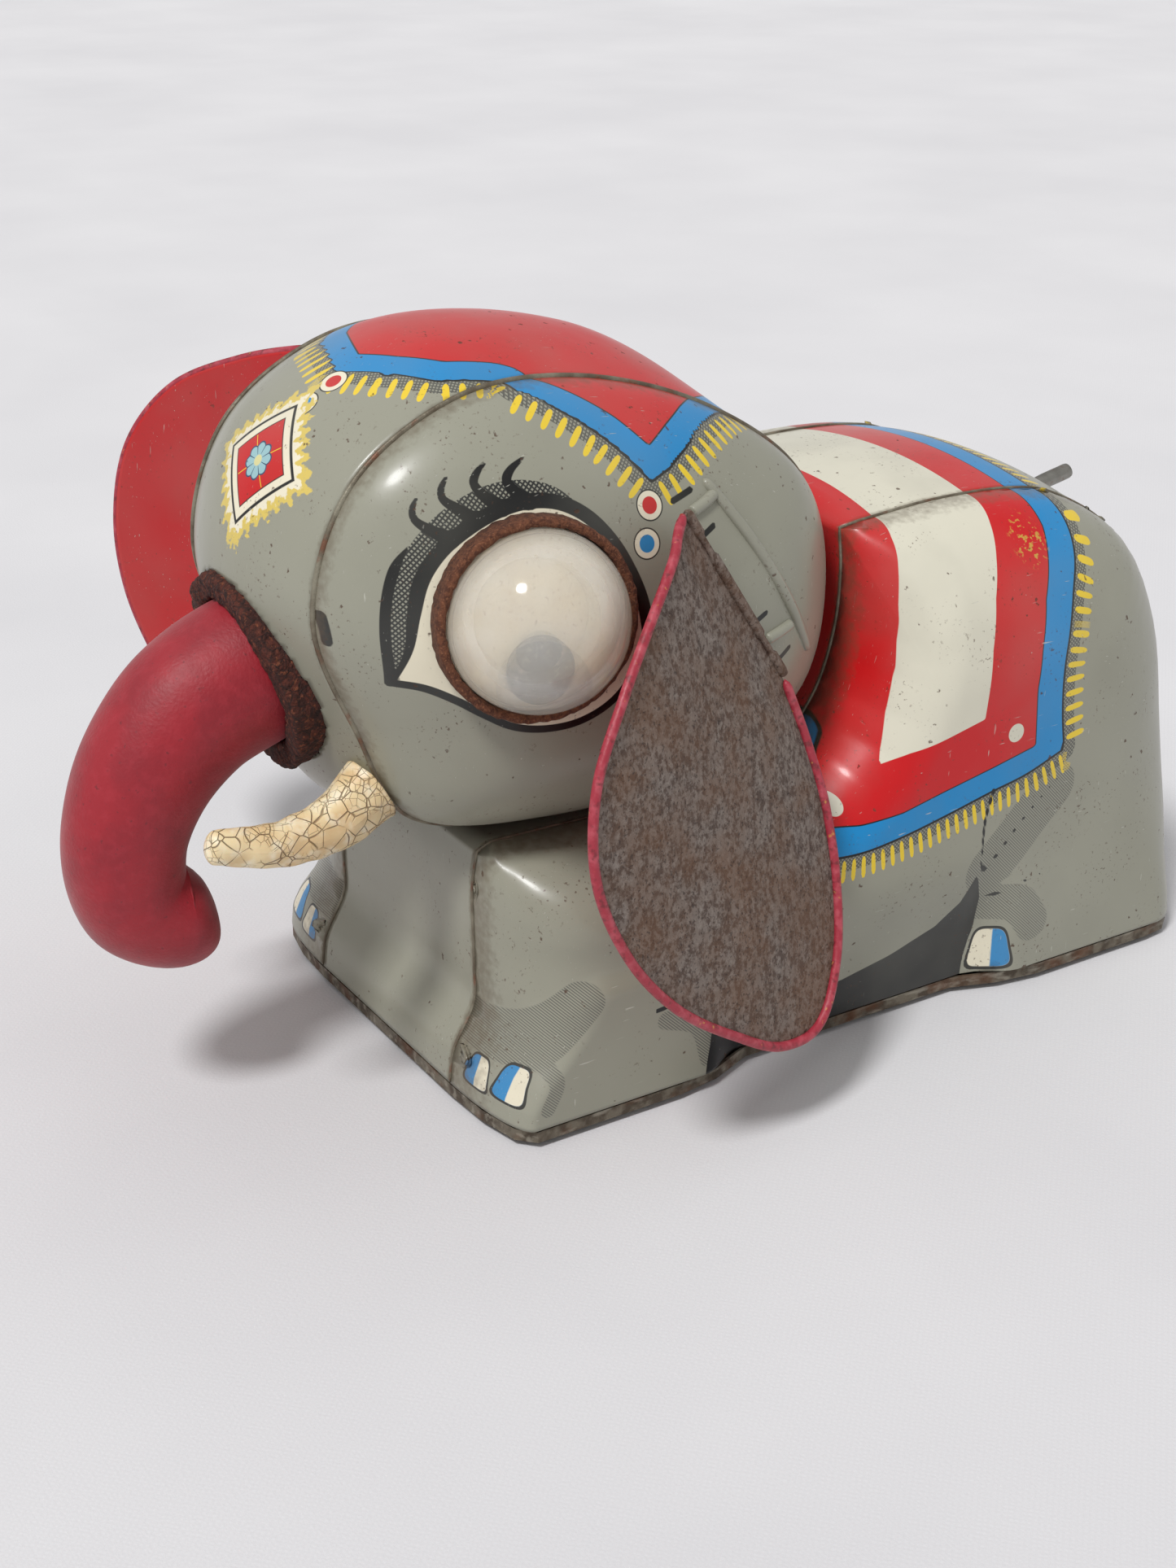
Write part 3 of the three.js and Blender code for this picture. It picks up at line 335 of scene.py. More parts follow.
class Finish:
    """One procedural material. Lengths in it are millimetres from the body's front edge."""

    def __init__(self, name, roughness=0.4, metallic=0.0, **settings):
        self.material = bpy.data.materials.new(name)
        self.material.use_nodes = True
        self.tree = self.material.node_tree
        self.surface = self.tree.nodes["Principled BSDF"]
        self.surface.inputs["Metallic"].default_value = metallic
        self.surface.inputs["Roughness"].default_value = roughness
        for label, value in settings.items():
            self.surface.inputs[label.replace("_", " ")].default_value = value
        where = self.node("ShaderNodeTexCoord").outputs["Object"]
        scaled = self.node("ShaderNodeVectorMath", operation="MULTIPLY_ADD")
        self.wire(where, scaled.inputs[0])
        scaled.inputs[1].default_value = (1 / MM,) * 3
        scaled.inputs[2].default_value = (0, BODY_LENGTH / 2, 0)
        self.place = scaled.outputs[0]
        split = self.node("ShaderNodeSeparateXYZ")
        self.wire(self.place, split.inputs[0])
        self.x, self.y, self.z = (Value(self, socket) for socket in split.outputs)
        self.colour = None

    def node(self, kind, **settings):
        made = self.tree.nodes.new(kind)
        for label, value in settings.items():
            setattr(made, label, value)
        return made

    def wire(self, value, slot):
        if isinstance(value, Value):
            value = value.socket
        if isinstance(value, bpy.types.NodeSocket):
            self.tree.links.new(value, slot)
        else:
            slot.default_value = value

    def kept(self, name):
        """A number that the mesh keeps at each vertex."""
        return Value(self, self.node("ShaderNodeAttribute", attribute_name=name).outputs["Fac"])

    def noise(self, size, detail=2.0, stretch=(1, 1, 1), rough=0.5):
        scaled = self.node("ShaderNodeVectorMath", operation="MULTIPLY")
        self.wire(self.place, scaled.inputs[0])
        scaled.inputs[1].default_value = tuple(1 / (size * s) for s in stretch)
        made = self.node("ShaderNodeTexNoise")
        self.wire(scaled.outputs[0], made.inputs["Vector"])
        made.inputs["Scale"].default_value = 1
        made.inputs["Detail"].default_value = detail
        made.inputs["Roughness"].default_value = rough
        return Value(self, made.outputs["Fac"])

    def cracks(self, size, feature="DISTANCE_TO_EDGE"):
        made = self.node("ShaderNodeTexVoronoi", feature=feature)
        self.wire(self.place, made.inputs["Vector"])
        made.inputs["Scale"].default_value = 1 / size
        return Value(self, made.outputs["Distance"])

    def off(self, *spot):
        """The distance from a point."""
        away = self.node("ShaderNodeVectorMath", operation="DISTANCE")
        self.wire(self.place, away.inputs[0])
        away.inputs[1].default_value = spot
        return Value(self, away.outputs["Value"])

    def flat_off(self, y, z):
        """The distance from a line that runs across the toy at y and z."""
        return ((self.y - y).math("POWER", 2) + (self.z - z).math("POWER", 2)).math("SQRT")

    def over(self, colour, mask=1.0):
        """Lays a colour over what is there, where mask is 1."""
        if self.colour is None:
            self.colour = colour
            return self
        mix = self.node("ShaderNodeMix", data_type="RGBA")
        self.wire(mask, mix.inputs["Factor"])
        colours = [slot for slot in mix.inputs if slot.type == "RGBA"]
        self.wire(self.colour, colours[0])
        self.wire(colour, colours[1])
        self.colour = [slot for slot in mix.outputs if slot.type == "RGBA"][0]
        return self

    def done(self, height=None, depth=0.1, roughness=None):
        """Joins the layers, a bump in millimetres and the roughness to the surface."""
        self.wire(self.colour, self.surface.inputs["Base Color"])
        if height is not None:
            bump = self.node("ShaderNodeBump")
            bump.inputs["Distance"].default_value = depth * MM
            self.wire(height, bump.inputs["Height"])
            self.wire(bump.outputs[0], self.surface.inputs["Normal"])
        if roughness is not None:
            self.wire(roughness, self.surface.inputs["Roughness"])
        return self.material


def screen(one, other, pitch=0.46, cover=0.2):
    """A printer's mesh of fine crossed lines."""
    turn = 2 * math.pi / (pitch * math.sqrt(2))
    rising = ((one + other) * turn).math("SINE")
    falling = ((one - other) * turn).math("SINE")
    return rising.most(falling).above(cover, 0.25)


def hatch(one, other, pitch=0.5):
    return ((one + other) * (2 * math.pi / pitch)).math("SINE").above(0.15, 0.3)


def worn(finish, rim=None, specks=1.0):
    """Age on printed tin: mottling, rust specks, fine scratches and dirt by the seams."""
    patches = finish.noise(14, 3)
    finish.over(ink(112, 110, 98), patches.above(0.62, 0.16) * 0.18)
    finish.over(ink(190, 190, 180), finish.noise(30, 2).above(0.6, 0.2) * 0.12)
    clusters = finish.noise(9, 2).above(0.56, 0.08)
    specks_fine = finish.noise(0.55, 3).above(0.66, 0.03) * clusters
    finish.over(RUST, specks_fine * 0.75 * specks)
    specks_wide = finish.noise(1.5, 4).above(0.71, 0.02)
    finish.over(RUST, specks_wide * 0.8 * specks)
    hair = finish.noise(0.16, 1, (1, 22, 3)).above(0.76, 0.02)
    hair = hair * finish.noise(11, 1).above(0.5, 0.05)
    hair_other = finish.noise(0.16, 1, (1, 4, 20)).above(0.77, 0.02)
    hair_other = hair_other * finish.noise(13, 1).above(0.52, 0.05)
    scratches = hair.most(hair_other)
    finish.over(ink(205, 204, 192), scratches * 0.5)
    if rim is not None:
        dirt = (rim + finish.noise(1.2, 3) * 1.6).below(1.15, 0.4)
        finish.over(ink(92, 76, 56), dirt * 0.5)
    height = scratches * -0.6 - specks_wide * 0.8 + finish.noise(2.6, 2) * 0.35
    roughness = 0.26 + finish.noise(5, 3) * 0.14 + specks_wide * 0.3 + scratches * 0.1
    return finish.done(height, 0.05, roughness)


def cloth_print(finish, cloth, strokes, along_y, along_z, red_from=4.1, lined=True):
    """The saddle cloth: a red field, a blue border, a black line, shading and a yellow fringe."""
    finish.over(ink(60, 60, 58), cloth.between(-2.5, -0.2) * screen(along_y, along_z) * 0.8)
    across = (strokes - strokes.math("FLOOR") - 0.5) * 2.1
    length = (cloth + 2.55) / 1.8
    stroke = across.math("POWER", 2) * 5.2 + length.math("POWER", 4)
    finish.over(YELLOW, stroke.below(1, 0.12) * cloth.below(-0.6))
    finish.over(BLACK, cloth.between(-0.38, 0.2))
    finish.over(BLUE, cloth.above(0))
    if lined:
        finish.over(BLACK, cloth.above(red_from - 0.22))
    finish.over(RED, cloth.above(red_from))


def bead(finish, spot, core):
    """A printed bead: a black line, a cream ring and a coloured middle."""
    away = finish.off(*spot)
    finish.over(BLACK, away.below(2.15))
    finish.over(CREAM, away.below(1.95))
    finish.over(core, away.below(1.2))


# ---- Body shape ----
chest_line = curve_through(
    [
        (0, SHELL_BOTTOM),
        (0.8, SHELL_BOTTOM + 5.2),
        (CHEST_SETBACK - 0.2, SHELL_BOTTOM + 12.3),
        (CHEST_SETBACK, SHELL_BOTTOM + 18),
        (CHEST_SETBACK, CHEST_HEIGHT - 6),
        (CHEST_SETBACK + 0.8, CHEST_HEIGHT - 1),
    ],
    50,
)
recess_line = curve_through(
    [
        (CHEST_SETBACK + 3, DECK),
        (RECESS_BACK - 24, DECK),
        (RECESS_BACK - 12, DECK + 2.6),
        (RECESS_BACK - 4.5, DECK + 10),
        (RECESS_BACK - 0.8, DECK + 20),
        (RECESS_BACK, BODY_HEIGHT - 8),
        (RECESS_BACK - 0.6, BODY_HEIGHT - 1.4),
    ],
    90,
)
back_line = curve_through(
    [
        (RECESS_BACK + 3, BODY_HEIGHT - 0.9),
        (BODY_LENGTH - 48, BODY_HEIGHT),
        (BODY_LENGTH - 33, BODY_HEIGHT - 0.7),
        (BODY_LENGTH - 25, BODY_HEIGHT - 2.6),
        (BODY_LENGTH - 12.5, BODY_HEIGHT - 10.4),
        (BODY_LENGTH - 5.5, BODY_HEIGHT - 23),
        (BODY_LENGTH - 2.2, BODY_HEIGHT - 38),
        (BODY_LENGTH - 0.7, BODY_HEIGHT - 55),
        (BODY_LENGTH - 1, SHELL_BOTTOM + 9),
        (BODY_LENGTH - 0.4, SHELL_BOTTOM + 4),
        (BODY_LENGTH, SHELL_BOTTOM),
    ],
    160,
)
body_line = np.vstack([chest_line, recess_line, back_line])
BODY_CENTRE = np.array([BODY_LENGTH - 44, SHELL_BOTTOM])


def rounding(distance, radius):
    return np.sqrt(1 - np.maximum(0, 1 - distance / radius) ** 2)


def body_side_x(y, z):
    """How far out the side panel lies."""
    spots = np.stack([y, z], 1)
    chest = rounding(nearest_on(chest_line[::5], spots)[0], lerp(4, 14, smooth(4, 26, z)))
    recess = rounding(nearest_on(recess_line[::5], spots)[0], 12)
    back = rounding(nearest_on(back_line[::5], spots)[0], lerp(10, 25, smooth(4, 40, z)))
    between_feet = smooth(33, 42, y) * (1 - smooth(BODY_LENGTH - 49, BODY_LENGTH - 40, y))
    relief = BELLY_RELIEF * between_feet * (1 - smooth(8, 26, z))
    # The front leg stands in from its foot, and the rear foot swells below the haunch.
    shin = lerp(14.5, 21.5, smooth(3, 16, y))
    above_foot = smooth(shin - 1.6, shin + 2.2, z) * (1 - smooth(14, 30, y)) * (1 - smooth(24, 36, z))
    haunch = np.exp(-(((y - 99) / 9) ** 2) - ((z - 24) / 9) ** 2)
    depth = BODY_DEPTH - relief - 1.5 * above_foot - 0.7 * haunch
    return BODY_HALF + SIDE_GAP + depth * chest * recess * back


def body_side(side):
    def place(u, v):
        share = v[:, None] ** 2.2
        spots = lerp(sample(body_line, u), BODY_CENTRE, share)
        out = body_side_x(spots[:, 0], spots[:, 1])
        out = np.where(v == 0, BODY_HALF + SIDE_GAP, out)
        return np.column_stack([side * out, spots])

    return mapped_grid(360, 76, place)


def strip(line, half, crown_at, across=36):
    """A strip between two side panels, crowned across its width."""
    along = np.gradient(line, axis=0)
    along /= np.linalg.norm(along, axis=1)[:, None]

    def place(u, v):
        x = lerp(-half, half, v)
        spots, ways = sample(line, u), sample(along, u)
        rise = crown_at(spots[:, 0], spots[:, 1]) * (1 - (x / half) ** 2)
        return np.column_stack([x, spots[:, 0] - ways[:, 1] * rise, spots[:, 1] + ways[:, 0] * rise])

    return mapped_grid(len(line) - 1, across, place)


# ---- Body print ----
cloth_edges = [
    ([(105.6, 92), (105.5, 80), (105.2, 75), (104.6, 72.2), (103.3, 68.8), (101, 64.2), (99.5, 59.5)], 2.5),
    ([(99.5, 59.5), (98.2, 53.4), (98.4, 46), (99.4, 39.4)], 2.5),
    ([(99.4, 39.4), (92.2, 36.9), (85.2, 35.6), (76, 33.7), (68.1, 32.3), (60.8, 31.6), (55, 31.9), (50, 33)], 1.75),
    ([(50, 33), (51, 39), (56, 46.5), (60.5, 54), (62.5, 62), (62.5, 92)], 2.2),
]
red_outline = np.array(
    [(100.7, 92), (100.7, 80), (100.1, 75.9), (99.5, 73), (97.3, 68.2), (95.3, 64), (93.7, 57), (93, 50.5),
     (93.5, 41.3), (85.3, 39.6), (75.6, 37.8), (68.2, 36.3), (60.9, 35.6), (53.4, 35.9), (54.2, 38),
     (58, 41), (62.1, 46.2), (66, 54.6), (67.6, 62), (66, 70), (62, 92)]
)
white_outline = np.array(
    [(92.5, 92), (92.3, 79), (91.9, 76.9), (90.3, 74.6), (88.2, 70.7), (85.9, 65.7), (84.1, 58.7),
     (82.9, 48), (75.1, 46.3), (69.9, 45), (65.6, 43.4), (66.8, 46.5), (68.4, 51), (70.2, 57), (71.3, 63.2),
     (72.3, 70), (73.4, 74.7), (75, 78), (75.5, 92)]
)


def print_body(piece, across=False):
    """Marks where the saddle cloth, the belly shade and the leg lines lie."""
    spots = millimetres(piece.data)
    flat = spots[:, 1:]
    smoothed = [(curve_through(points, 40), pitch) for points, pitch in cloth_edges]
    outline = np.vstack([points for points, _ in smoothed])
    mark(piece, "cloth", inward(outline, flat))
    strokes = np.zeros(len(flat))
    least = np.full(len(flat), np.inf)
    for points, pitch in smoothed:
        away, place = nearest_on(points, flat)
        step = np.linalg.norm(points[1] - points[0])
        strokes = np.where(away < least, place * step / pitch, strokes)
        least = np.minimum(least, away)
    mark(piece, "strokes", spots[:, 0] / 2.4 if across else strokes)
    mark(piece, "red", inward(red_outline, flat))
    mark(piece, "white", inward(white_outline, flat))
    belly = np.array(
        [(84.4, 21.5), (82.5, 16.3), (78.5, 12.7), (70.4, 9.8), (60.6, 8), (51.9, 7.7), (44, 8.6),
         (38, 12), (35.6, 16.5), (34.6, 11), (33.4, 4), (33, 0), (84.7, 0), (85.2, 5), (86.6, 10.3), (86.4, 16)]
    )
    mark(piece, "belly", inward(belly, flat))
    lines = [
        [(85.7, 35.6), (84.5, 31), (84.5, 21.6)],
        [(85, 21.3), (91.4, 27.9), (98.9, 34.4)],
        [(86.8, 15.8), (92.9, 17.6), (98.2, 18.2)],
        [(24.5, 15.6), (27, 15.9), (30.5, 17)],
    ]
    widths = []
    for line in lines:
        points = curve_through(line, 20)
        away, place = nearest_on(points, flat)
        widths.append(0.42 - 0.3 * place / 20 - away)
    mark(piece, "creases", np.max(widths, axis=0))
    shade = [
        (nearest_on(curve_through([(86.5, 22), (92, 27), (98, 33)], 12), flat), 4.6),
        (nearest_on(curve_through([(87, 15), (93, 14), (96, 10)], 12), flat), 3.2),
        (nearest_on(curve_through([(2, 12), (5.2, 13), (9, 16), (13, 20)], 12), flat), 2.6),
        (nearest_on(curve_through([(6.3, 11.5), (7.6, 8.6), (6, 5)], 12), flat), 1.2),
        (nearest_on(curve_through([(26, 13.6), (31.5, 11), (33.6, 5)], 12), flat), 1.5),
    ]
    mark(piece, "shade", np.max([reach - away for (away, _), reach in shade], axis=0))
    rim, _ = nearest_on(body_line[::3], flat)
    mark(piece, "rim", rim)


def nail(finish, along, z, half_width, height, split, first, second, where=1.0):
    """A printed toenail: a black line round two flat colours."""
    across = along / half_width
    up = (finish.z - z) / (height / 2)
    taper = across * (1 + up * 0.28)
    form = taper.math("POWER", 2) * taper.math("POWER", 2) + up.math("POWER", 2) * up.math("POWER", 2)
    finish.over(BLACK, form.below(1.28, 0.05) * where)
    finish.over(first, form.below(0.72, 0.05) * where)
    finish.over(second, form.below(0.72, 0.05) * across.above(split, 0.03) * where)


def body_finish(name, sides):
    finish = Finish(name, Coat_Weight=0.12, Coat_Roughness=0.12, Specular_IOR_Level=0.35)
    finish.over(GREY)
    cloth = finish.kept("cloth")
    first = finish.y
    second = finish.z if sides else finish.x
    if sides:
        finish.over(ink(70, 71, 68), finish.kept("shade").above(0, 0.1) * hatch(first, second) * 0.75)
    cloth_print(finish, cloth, finish.kept("strokes"), first, second, red_from=99)
    red = finish.kept("red")
    finish.over(BLACK, red.above(-0.2))
    finish.over(RED, red.above(0))
    finish.over(WHITE, finish.kept("white").above(0))
    if sides:
        for spot in ((57.8, 38.4), (89.4, 44.3)):
            finish.over(WHITE, finish.flat_off(*spot).below(1.5))
        flakes = finish.noise(0.8, 3).above(0.58, 0.02) * finish.flat_off(95.5, 71.8).below(3, 0.8)
        finish.over(ink(196, 150, 60), flakes)
        finish.over(BLACK, finish.kept("belly").above(0, 0.05))
        finish.over(BLACK, finish.kept("creases").above(0, 0.04))
        out = finish.x.math("ABSOLUTE")
        in_front = finish.y.below(9)
        nail(finish, out - 27.4, 6.9, 2.5, 4.8, -0.1, BLUE, CREAM, in_front)
        nail(finish, out - 34.2, 7.7, 2.7, 5.2, 0, BLUE, CREAM, in_front)
        nail(finish, finish.y - 89.2, 6.4, 2.9, 7.4, 0.1, CREAM, BLUE)
    return worn(finish, finish.kept("rim") if sides else 20.5 - finish.x.math("ABSOLUTE"))


side_print = body_finish("litho_side", True)
back_print = body_finish("litho_back", False)

for side, name in ((1, "left"), (-1, "right")):
    shape = body_side(side)
    if side < 0:
        open_where(shape, lambda p: np.hypot(p[:, 1] - 90, p[:, 2] - 38) < 2.6)
    panel = finish_mesh(shape, f"side_panel_{name}", "chassis", (f"body_side_{name}",))
    print_body(panel)
    wall(panel)
    paint(panel, side_print)


def body_crown(y, z):
    return np.where((y > RECESS_BACK) & (z > SHELL_BOTTOM + 8), 2.0, 0.0) * smooth(0, 4, y - RECESS_BACK)


shape = strip(body_line, BODY_HALF - SIDE_GAP, body_crown)
LEVER_EXIT = (BODY_LENGTH - 10.5, BODY_HEIGHT - 11)
open_where(
    shape,
    lambda p: (np.abs(p[:, 0]) < 2) & (np.hypot(p[:, 1] - LEVER_EXIT[0], p[:, 2] - LEVER_EXIT[1]) < 4.4)
    | (np.abs(p[:, 0]) < 4.3) & (p[:, 1] > 19) & (p[:, 1] < 41) & (np.abs(p[:, 2] - DECK) < 1),
)
back_strip = finish_mesh(shape, "back_strip", "chassis", ("body_centre_strip",))
print_body(back_strip, across=True)
wall(back_strip)
paint(back_strip, back_print)


# ---- Folded seams ----
def hem_finish():
    finish = Finish("folded_seam", roughness=0.45, metallic=0.35)
    finish.over(ink(112, 104, 88))
    finish.over(ink(74, 58, 42), finish.noise(2.4, 4).above(0.5, 0.14) * 0.6)
    finish.over(ink(160, 156, 138), finish.noise(5, 3).above(0.54, 0.1) * 0.5)
    finish.over(ink(120, 62, 34), finish.noise(2.6, 4).above(0.62, 0.06) * 0.6)
    return finish.done(finish.noise(0.5, 3), 0.12, 0.35 + finish.noise(2, 2) * 0.3)


hem = hem_finish()
for side, name in ((1, "left"), (-1, "right")):
    path = np.column_stack([np.full(len(body_line), side * BODY_HALF), body_line])

    def fold(u):
        ends = np.minimum(1, np.minimum(u, 1 - u) / 0.002)
        rump = smooth(0.66, 0.74, u)
        return (0.3 + 0.5 * rump) * ends

    seam = finish_mesh(swept(path, fold, 14, flat=0.85), f"body_seam_{name}", "chassis")
    paint(seam, hem)

# ---- Head shape ----
head_shares = [
    (0.155, 0.076), (0.069, 0.295), (0.0, 0.57), (0.074, 0.834), (0.266, 0.986), (0.478, 0.994),
    (0.755, 0.875), (0.957, 0.67), (1.0, 0.418), (0.951, 0.174), (0.757, 0.024), (0.393, 0.0),
]


def head_at(length_share, height_share):
    return (length_share * HEAD_LENGTH - HEAD_OVERHANG, HEAD_BOTTOM + height_share * HEAD_HEIGHT)


HEAD_STEPS = 380
head_line = curve_through([head_at(*share) for share in head_shares], HEAD_STEPS, closed=True)
HEAD_CENTRE = np.array(head_at(0.551, 0.45))


def head_side_x(share):
    """How far out the head's side lies, from its middle (0) to its rim (1)."""
    return HEAD_HALF + SIDE_GAP + HEAD_DEPTH * np.maximum(0, 1 - share**2.2) ** 0.6


def head_surface(y, z):
    ways = head_line - HEAD_CENTRE
    spot = np.array([y, z]) - HEAD_CENTRE
    reach = np.linalg.norm(spot)
    alike = ways @ spot / (np.linalg.norm(ways, axis=1) * reach)
    return float(head_side_x(reach / np.linalg.norm(ways[np.argmax(alike)])))


EYE_SEAT = np.array([35.596, 7.033, 77.746])
EYE_AXIS = np.array([0.9762, -0.2038, 0.0740])
EYE_RING = 13.9


def head_side(side):
    def place(u, v):
        share = v**1.9
        spots = lerp(sample(head_line, u), HEAD_CENTRE, share[:, None])
        return np.column_stack([side * head_side_x(1 - share), spots])

    return mapped_grid(HEAD_STEPS, 90, place)


def off_eye(points):
    """The distance from the eye's axis, on either side."""
    reach = points.copy()
    reach[:, 0] = np.abs(reach[:, 0])
    reach -= EYE_SEAT
    along = reach @ EYE_AXIS
    return np.linalg.norm(reach - along[:, None] * EYE_AXIS, axis=1), along


# ---- Head print ----
head_top = head_line[: int(HEAD_STEPS * 0.6)]


def top_height(x, y):
    """The height of the head's strip at x and y."""
    high = head_top[head_top[:, 1] > 70]
    order = np.argsort(high[:, 0])
    crown = lerp(4.5, 0.8, smooth(32.5, 61.1, y))
    return np.interp(y, high[order, 0], high[order, 1]) + crown * (1 - (x / HEAD_HALF) ** 2)


PRINT_SHIFT = 2.6
side_cloth = [(19.6, 11.6, 105.4), (21.9, 12.2, 104.3), (25.6, 16.4, 102.3), (28.9, 21.4, 98.6),
              (32.3, 26.8, 92.6), (31.2, 30.4, 93.6), (28.9, 34.6, 95.3), (25.6, 39.2, 96.4),
              (22.3, 43.6, 96.8), (19.6, 47, 96)]


def head_cloth_edge():
    """The edge of the head's cloth as points on the tin, from the front tip round by the left side."""
    front = [(PRINT_SHIFT, -4.3), (9.6, -0.6), (15.6, 4.2), (18.8, 10.6)]
    nape = [(17, 49.4), (10, 55), (0, 60.5)]
    there = [(x, y, top_height(x, y)) for x, y in front] + side_cloth
    there += [(x, y, top_height(x, y)) for x, y in nape]
    here = [(-x, y, z) for x, y, z in there[1:-1]][::-1]
    whole = np.array(there + here + there[:1])
    steps = []
    for start, end in zip(whole, whole[1:]):
        count = max(2, int(np.linalg.norm(end - start) / 0.8))
        steps.append(lerp(start, end, np.linspace(0, 1, count, endpoint=False)[:, None]))
    return np.vstack(steps + [whole[:1]])


def print_head(piece):
    """Marks where the head's cloth lies, its fringe strokes, and how far each point lies from the rim."""
    spots = millimetres(piece.data)
    edge = head_cloth_edge()
    away, place = nearest_on(edge, spots)
    length = np.concatenate([[0], np.cumsum(np.linalg.norm(np.diff(edge, axis=0), axis=1))])
    covered = is_inside(edge[:-1, :2], spots[:, :2]) & (spots[:, 2] > 80)
    mark(piece, "cloth", np.where(covered, away, -away))
    mark(piece, "strokes", np.interp(place, np.arange(len(length)), length) / 2.2)
    flat = spots[:, 1:]
    rim, _ = nearest_on(head_line[::4], flat)
    mark(piece, "rim", rim)


lid = curve_through(
    [(-10.3, 69.9), (-8.7, 74.6), (-7.9, 79.5), (-6.6, 84), (-3.9, 87.6), (-0.2, 90.2), (4, 92),
     (8.2, 92.7), (12.2, 92.1), (15.8, 90), (18.9, 86.4), (21.2, 82), (22.8, 77.5), (23.6, 72)], 90
)
lower_lid = curve_through([(-10.5, 69.9), (-6.8, 69.1), (-2.8, 67), (0.6, 64.7), (4.6, 62.4), (9, 61.6), (14, 62.2), (19, 65), (23.6, 72)], 60)
brow = curve_through([(-10.5, 69.9), (-11.2, 77), (-10.5, 82.5), (-9, 86.3), (-6.6, 89.3)], 30)
brow_top = curve_through([(-6.6, 89.3), (-4.2, 91.5), (-0.5, 93.7), (3.6, 95.1), (7.9, 95.3), (11.6, 94.3), (13.9, 92.6), (15.6, 90.4)], 40)
lashes = [
    [(-2.4, 88.9), (-4.9, 90.3), (-6.2, 91.5), (-6.2, 92.7), (-5.4, 93.9)],
    [(1, 91), (-1.1, 92.6), (-2.4, 93.8), (-2.3, 94.9), (-1.2, 96.3)],
    [(4.6, 92.2), (2.5, 94), (1.8, 95.4), (2.5, 96.5), (4, 97.7)],
    [(8.2, 92.6), (6.6, 94.1), (6, 95.4), (6.8, 96.5), (9, 97.8)],
]

# Slits in the tin by the ear hinges and at the front seam; they are not cut, but painted black as shade.
hinge_slits = [
    [(29.5, 89.6), (33, 90.4)], [(32.4, 83.9), (35.7, 85.3)],
    [(41, 70.2), (44.2, 71.4)], [(46.9, 63), (49.9, 64.5)],
    [(-17.1, 78.8), (-16.6, 74.8)],
]


def print_eye(piece):
    """Marks the painted eye round the dome on the head's side, and the hinge slits as painted shade in place of
    openings.
    """
    flat = millimetres(piece.data)[:, 1:]
    field = np.vstack([lid, lower_lid[::-1]])
    mark(piece, "eye_field", inward(field, flat))
    shadow = np.vstack([brow, brow_top, lid[:66][::-1]])
    mark(piece, "eye_shadow", inward(shadow, flat))
    away, place = nearest_on(lid, flat)
    ink_and_slit_shade = [0.35 + 0.6 * smooth(0, 22, place) - away]
    away, place = nearest_on(lower_lid, flat)
    ink_and_slit_shade.append(0.55 - away)
    away, place = nearest_on(brow, flat)
    ink_and_slit_shade.append(0.62 * (1 - smooth(22, 30, place)) - away)
    for lash in lashes:
        away, place = nearest_on(curve_through(lash, 24), flat)
        ink_and_slit_shade.append(lerp(1.05, 0.18, place / 24) - away)
    # Painted shade: black strokes where the hinge slits are, standing in for the dark openings.
    ink_and_slit_shade += [0.42 - nearest_on(np.array(slit), flat)[0] for slit in hinge_slits]
    mark(piece, "eye_ink_and_slit_shade", np.max(ink_and_slit_shade, axis=0))


def head_finish(name, sides):
    finish = Finish(name, Coat_Weight=0.12, Coat_Roughness=0.12, Specular_IOR_Level=0.35)
    finish.over(GREY)
    second = finish.z if sides else finish.x
    cloth = finish.kept("cloth")
    cloth_print(finish, cloth, finish.kept("strokes"), finish.y, second)
    if sides:
        shadow = finish.kept("eye_shadow").above(0)
        finish.over(ink(40, 41, 40), shadow * screen(finish.y, finish.z, 0.5, 0.1))
        finish.over(CREAM, finish.kept("eye_field").above(0))
        # Black eye lines, and painted shade where the hinge slits are.
        finish.over(BLACK, finish.kept("eye_ink_and_slit_shade").above(0, 0.05))
        for mirror in (1, -1):
            bead(finish, (mirror * 33.6, 25.6, 89.7), RED)
            bead(finish, (mirror * 35.3, 24.2, 85.1), BLUE)
    else:
        bead(finish, (4.2, -5.5, 104.1), RED)
        bead(finish, (3.7, -9.5, 101.4), BLUE)
        diamond(finish)
    return worn(finish, finish.kept("rim") if sides else 19.2 - finish.x.math("ABSOLUTE"))


